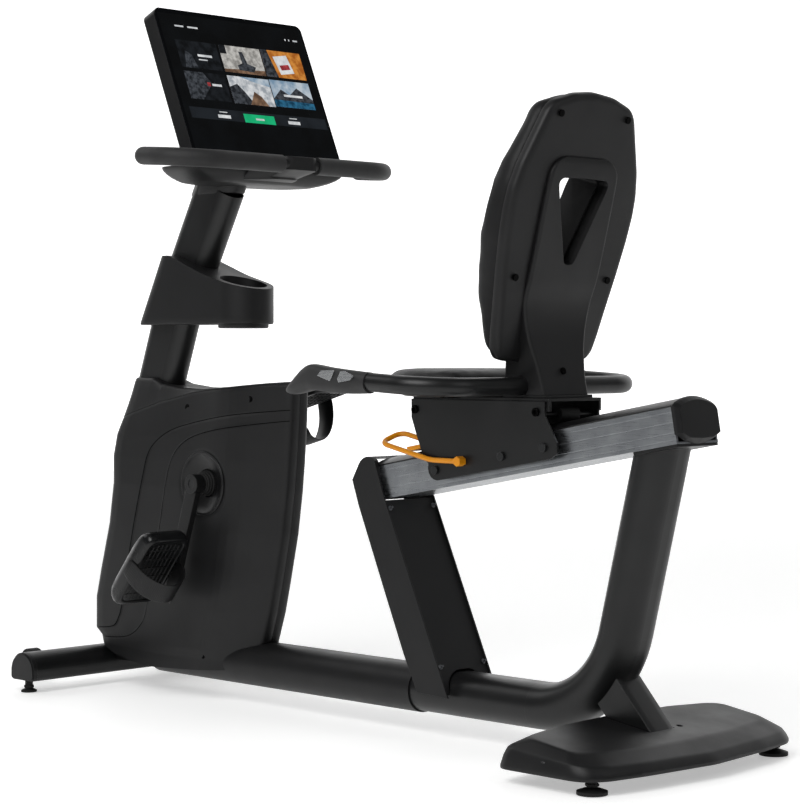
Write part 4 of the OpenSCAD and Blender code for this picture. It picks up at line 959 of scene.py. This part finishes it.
# side, axis, direction along the foot and direction out of the tread, as (y, z)
pedals = {"left": (1, (294.6, 264.7), (0.643, 0.766), (0.766, -0.643)),
          "right": (-1, (389.4, 595.3), (0.966, 0.259), (0.259, -0.966))}
pedal_levels = [(-34.5, 34, -52, 34), (-33, 38, -58, 42), (-30, 43, -68, 58), (-25, 47, -81, 76),
                (-16, 49.4, -89.4, 86), (-6, 50, -91.6, 89.4), (3, 50, -89.6, 88.6), (7.5, 49.4, -87, 86.4),
                (9.5, 48, -84.6, 84.2), (10, 46.4, -82.6, 82.4), (10, 43.4, -79, 79), (9.4, 42.6, -78.2, 78.2),
                (8.2, 42, -77.6, 77.6)]
for word, (side, axis, along, outward) in pedals.items():
    def pedal_at(x, l, t):
        """A place on the pedal: x from the centre plane, l along the foot, t out of the tread."""
        return at(side * x, axis[0] + l * along[0] + t * outward[0], axis[1] + l * along[1] + t * outward[1])

    rings = []
    for t, half, low, high in pedal_levels:
        plan = soft_corners([(162 - half, low), (162 + half, low), (162 + half, high), (162 - half, high)],
                            19 if t < 10 else 16, 6)
        rings.append([pedal_at(x, l, t) for x, l in plan])
    loft(f"pedal_body_{word}", rings, f"pedal_{word}", nylon, (f"pedal_{word}",), "dark_plastic")
    points, faces = [], []
    bars = [(162 + 10.4 * k, 162 + 10.4 * k, -73 + 4 * (abs(k) > 2), 73 - 4 * (abs(k) > 2), 0.9)
            for k in range(-3, 4)]
    bars += [(124, 200, -58 + 23.2 * k, -58 + 23.2 * k, 1.3) for k in range(6)]
    for x0, x1, l0, l1, half in bars:
        wide = (half, 0) if x0 == x1 else (0, half)
        start = len(points)
        for grow, t in ((1.5, 8), (1.3, 8.6), (0.8, 9.3), (0.5, 9.5)):
            for sx, sl in ((-1, -1), (1, -1), (1, 1), (-1, 1)):
                points.append(pedal_at((x1 if sx > 0 else x0) + sx * wide[0] * grow,
                                       (l1 if sl > 0 else l0) + sl * wide[1] * grow, t))
        faces += [tuple(start + i for i in face) for face in grid_faces(4, 4, wrap_columns=True)]
        faces.append(tuple(range(start + 12, start + 16)))
    shape(f"pedal_tread_{word}", points, faces, f"pedal_{word}", tread_rubber, (), "dark_plastic")
    # strap: up the outer side, over the foot and down the inner side; the right one is let out more
    reach = 60 if word == "left" else 80
    run = [(0, (213.9, -12)), (0.08, (213.9, 4))]
    run += [(0.12 + 0.76 * a / 180,
             (162 + 51.9 * math.cos(math.radians(a)), 12 + reach * math.sin(math.radians(a))))
            for a in range(0, 181, 6)]
    run += [(0.94, (110.1, 0)), (1, (110.1, -12))]
    path = flowing([spot for _, spot in run], 260)
    run = np.linspace(0, 1, 260)
    shares = [0, 0.1, 0.5, 0.6, 0.66, 0.78, 0.9, 1]
    low_edge = np.interp(run, shares, [-16, -20, -22, -24, -42, -46, -34, -16])
    high_edge = np.interp(run, shares, [18, 23, 24, 25, 30, 30, 22, 12])
    step = np.gradient(path, axis=0)
    normal = np.stack([step[:, 1], -step[:, 0]], axis=1)
    normal /= np.linalg.norm(normal, axis=1, keepdims=True)
    normal *= np.where(np.sum(normal * (path - [162, 0]), axis=1) > 0, 1, -1)[:, None]
    ridge = np.where((run > 0.03) & (run < 0.6), 0.55 * np.maximum(0, np.sin(run * 2 * math.pi * 62)), 0.5)
    rings = []
    for (x, t), (nx, nt), a, b, rise in zip(path, normal, low_edge, high_edge, ridge):
        section = [(a, 0.3), (a + 0.9, rise * 0.6 + 0.7), (a + 2.6, rise + 0.9), (b - 2.6, rise + 0.9),
                   (b - 0.9, rise * 0.6 + 0.7), (b, 0.3), (b, -0.6), (b - 0.9, -1.3), (a + 0.9, -1.3), (a, -0.6)]
        rings.append([pedal_at(x + nx * h, l, t + nt * h) for l, h in section])
    loft(f"pedal_strap_{word}", rings, f"pedal_{word}", strap_rubber, (f"strap_{word}",), "strap_rubber", 50)

# ---------------------------------------------------------------------------------------------
# Studio: a pale floor and big soft lights, as for a catalogue picture.
# ---------------------------------------------------------------------------------------------
floor_paint, tree, shader, place = start_material("pale_floor")
shader.inputs["Base Color"].default_value = srgb("f4f4f3")
shader.inputs["Roughness"].default_value = 0.6
shader.inputs["Emission Color"].default_value = srgb("ffffff")
shader.inputs["Emission Strength"].default_value = 0.42
floor_mesh = bpy.data.meshes.new("floor")
floor_mesh.from_pydata([(-14, -14, 0), (14, -14, 0), (14, 14, 0), (-14, 14, 0)], [], [(0, 1, 2, 3)])
floor_mesh.materials.append(floor_paint)
floor = bpy.data.objects.new("floor", floor_mesh)
floor.location.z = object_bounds()[0].z - 0.001
bpy.context.scene.collection.objects.link(floor)

wall_paint, tree, shader, place = start_material("lit_studio_wall")
shader.inputs["Base Color"].default_value = srgb("ffffff")
shader.inputs["Emission Color"].default_value = srgb("ffffff")
shader.inputs["Emission Strength"].default_value = 0.8
wall_mesh = bpy.data.meshes.new("studio_wall")
wall_mesh.from_pydata([(-16, 0, -0.5), (16, 0, -0.5), (16, 0, 11), (-16, 0, 11)], [], [(0, 1, 2, 3)])
wall_mesh.materials.append(wall_paint)
wall = bpy.data.objects.new("studio_wall", wall_mesh)
wall.location = (-6, -6, 0)
wall.rotation_euler = (0, 0, math.radians(-45))
bpy.context.scene.collection.objects.link(wall)

world = bpy.data.worlds.new("studio")
bpy.context.scene.world = world
world.use_nodes = True
world.node_tree.nodes["Background"].inputs["Color"].default_value = srgb("f2f3f5")
world.node_tree.nodes["Background"].inputs["Strength"].default_value = 0.16
for name, spot, aim, size, power in (
        ("key_softbox", (2600, 1500, 2900), (0, 700, 500), 2.2, 85),
        ("front_softbox", (1500, -2600, 3300), (0, 500, 500), 1.8, 16),
        ("rear_softbox", (-600, 3600, 2300), (0, 1000, 600), 1.6, 10)):
    light_data = bpy.data.lights.new(name, "AREA")
    light_data.size = size
    light_data.energy = power
    light = bpy.data.objects.new(name, light_data)
    light.location = at(*spot)
    light.rotation_euler = (at(*aim) - at(*spot)).to_track_quat("-Z", "Y").to_euler()
    bpy.context.scene.collection.objects.link(light)

bpy.context.scene.view_settings.view_transform = "Standard"
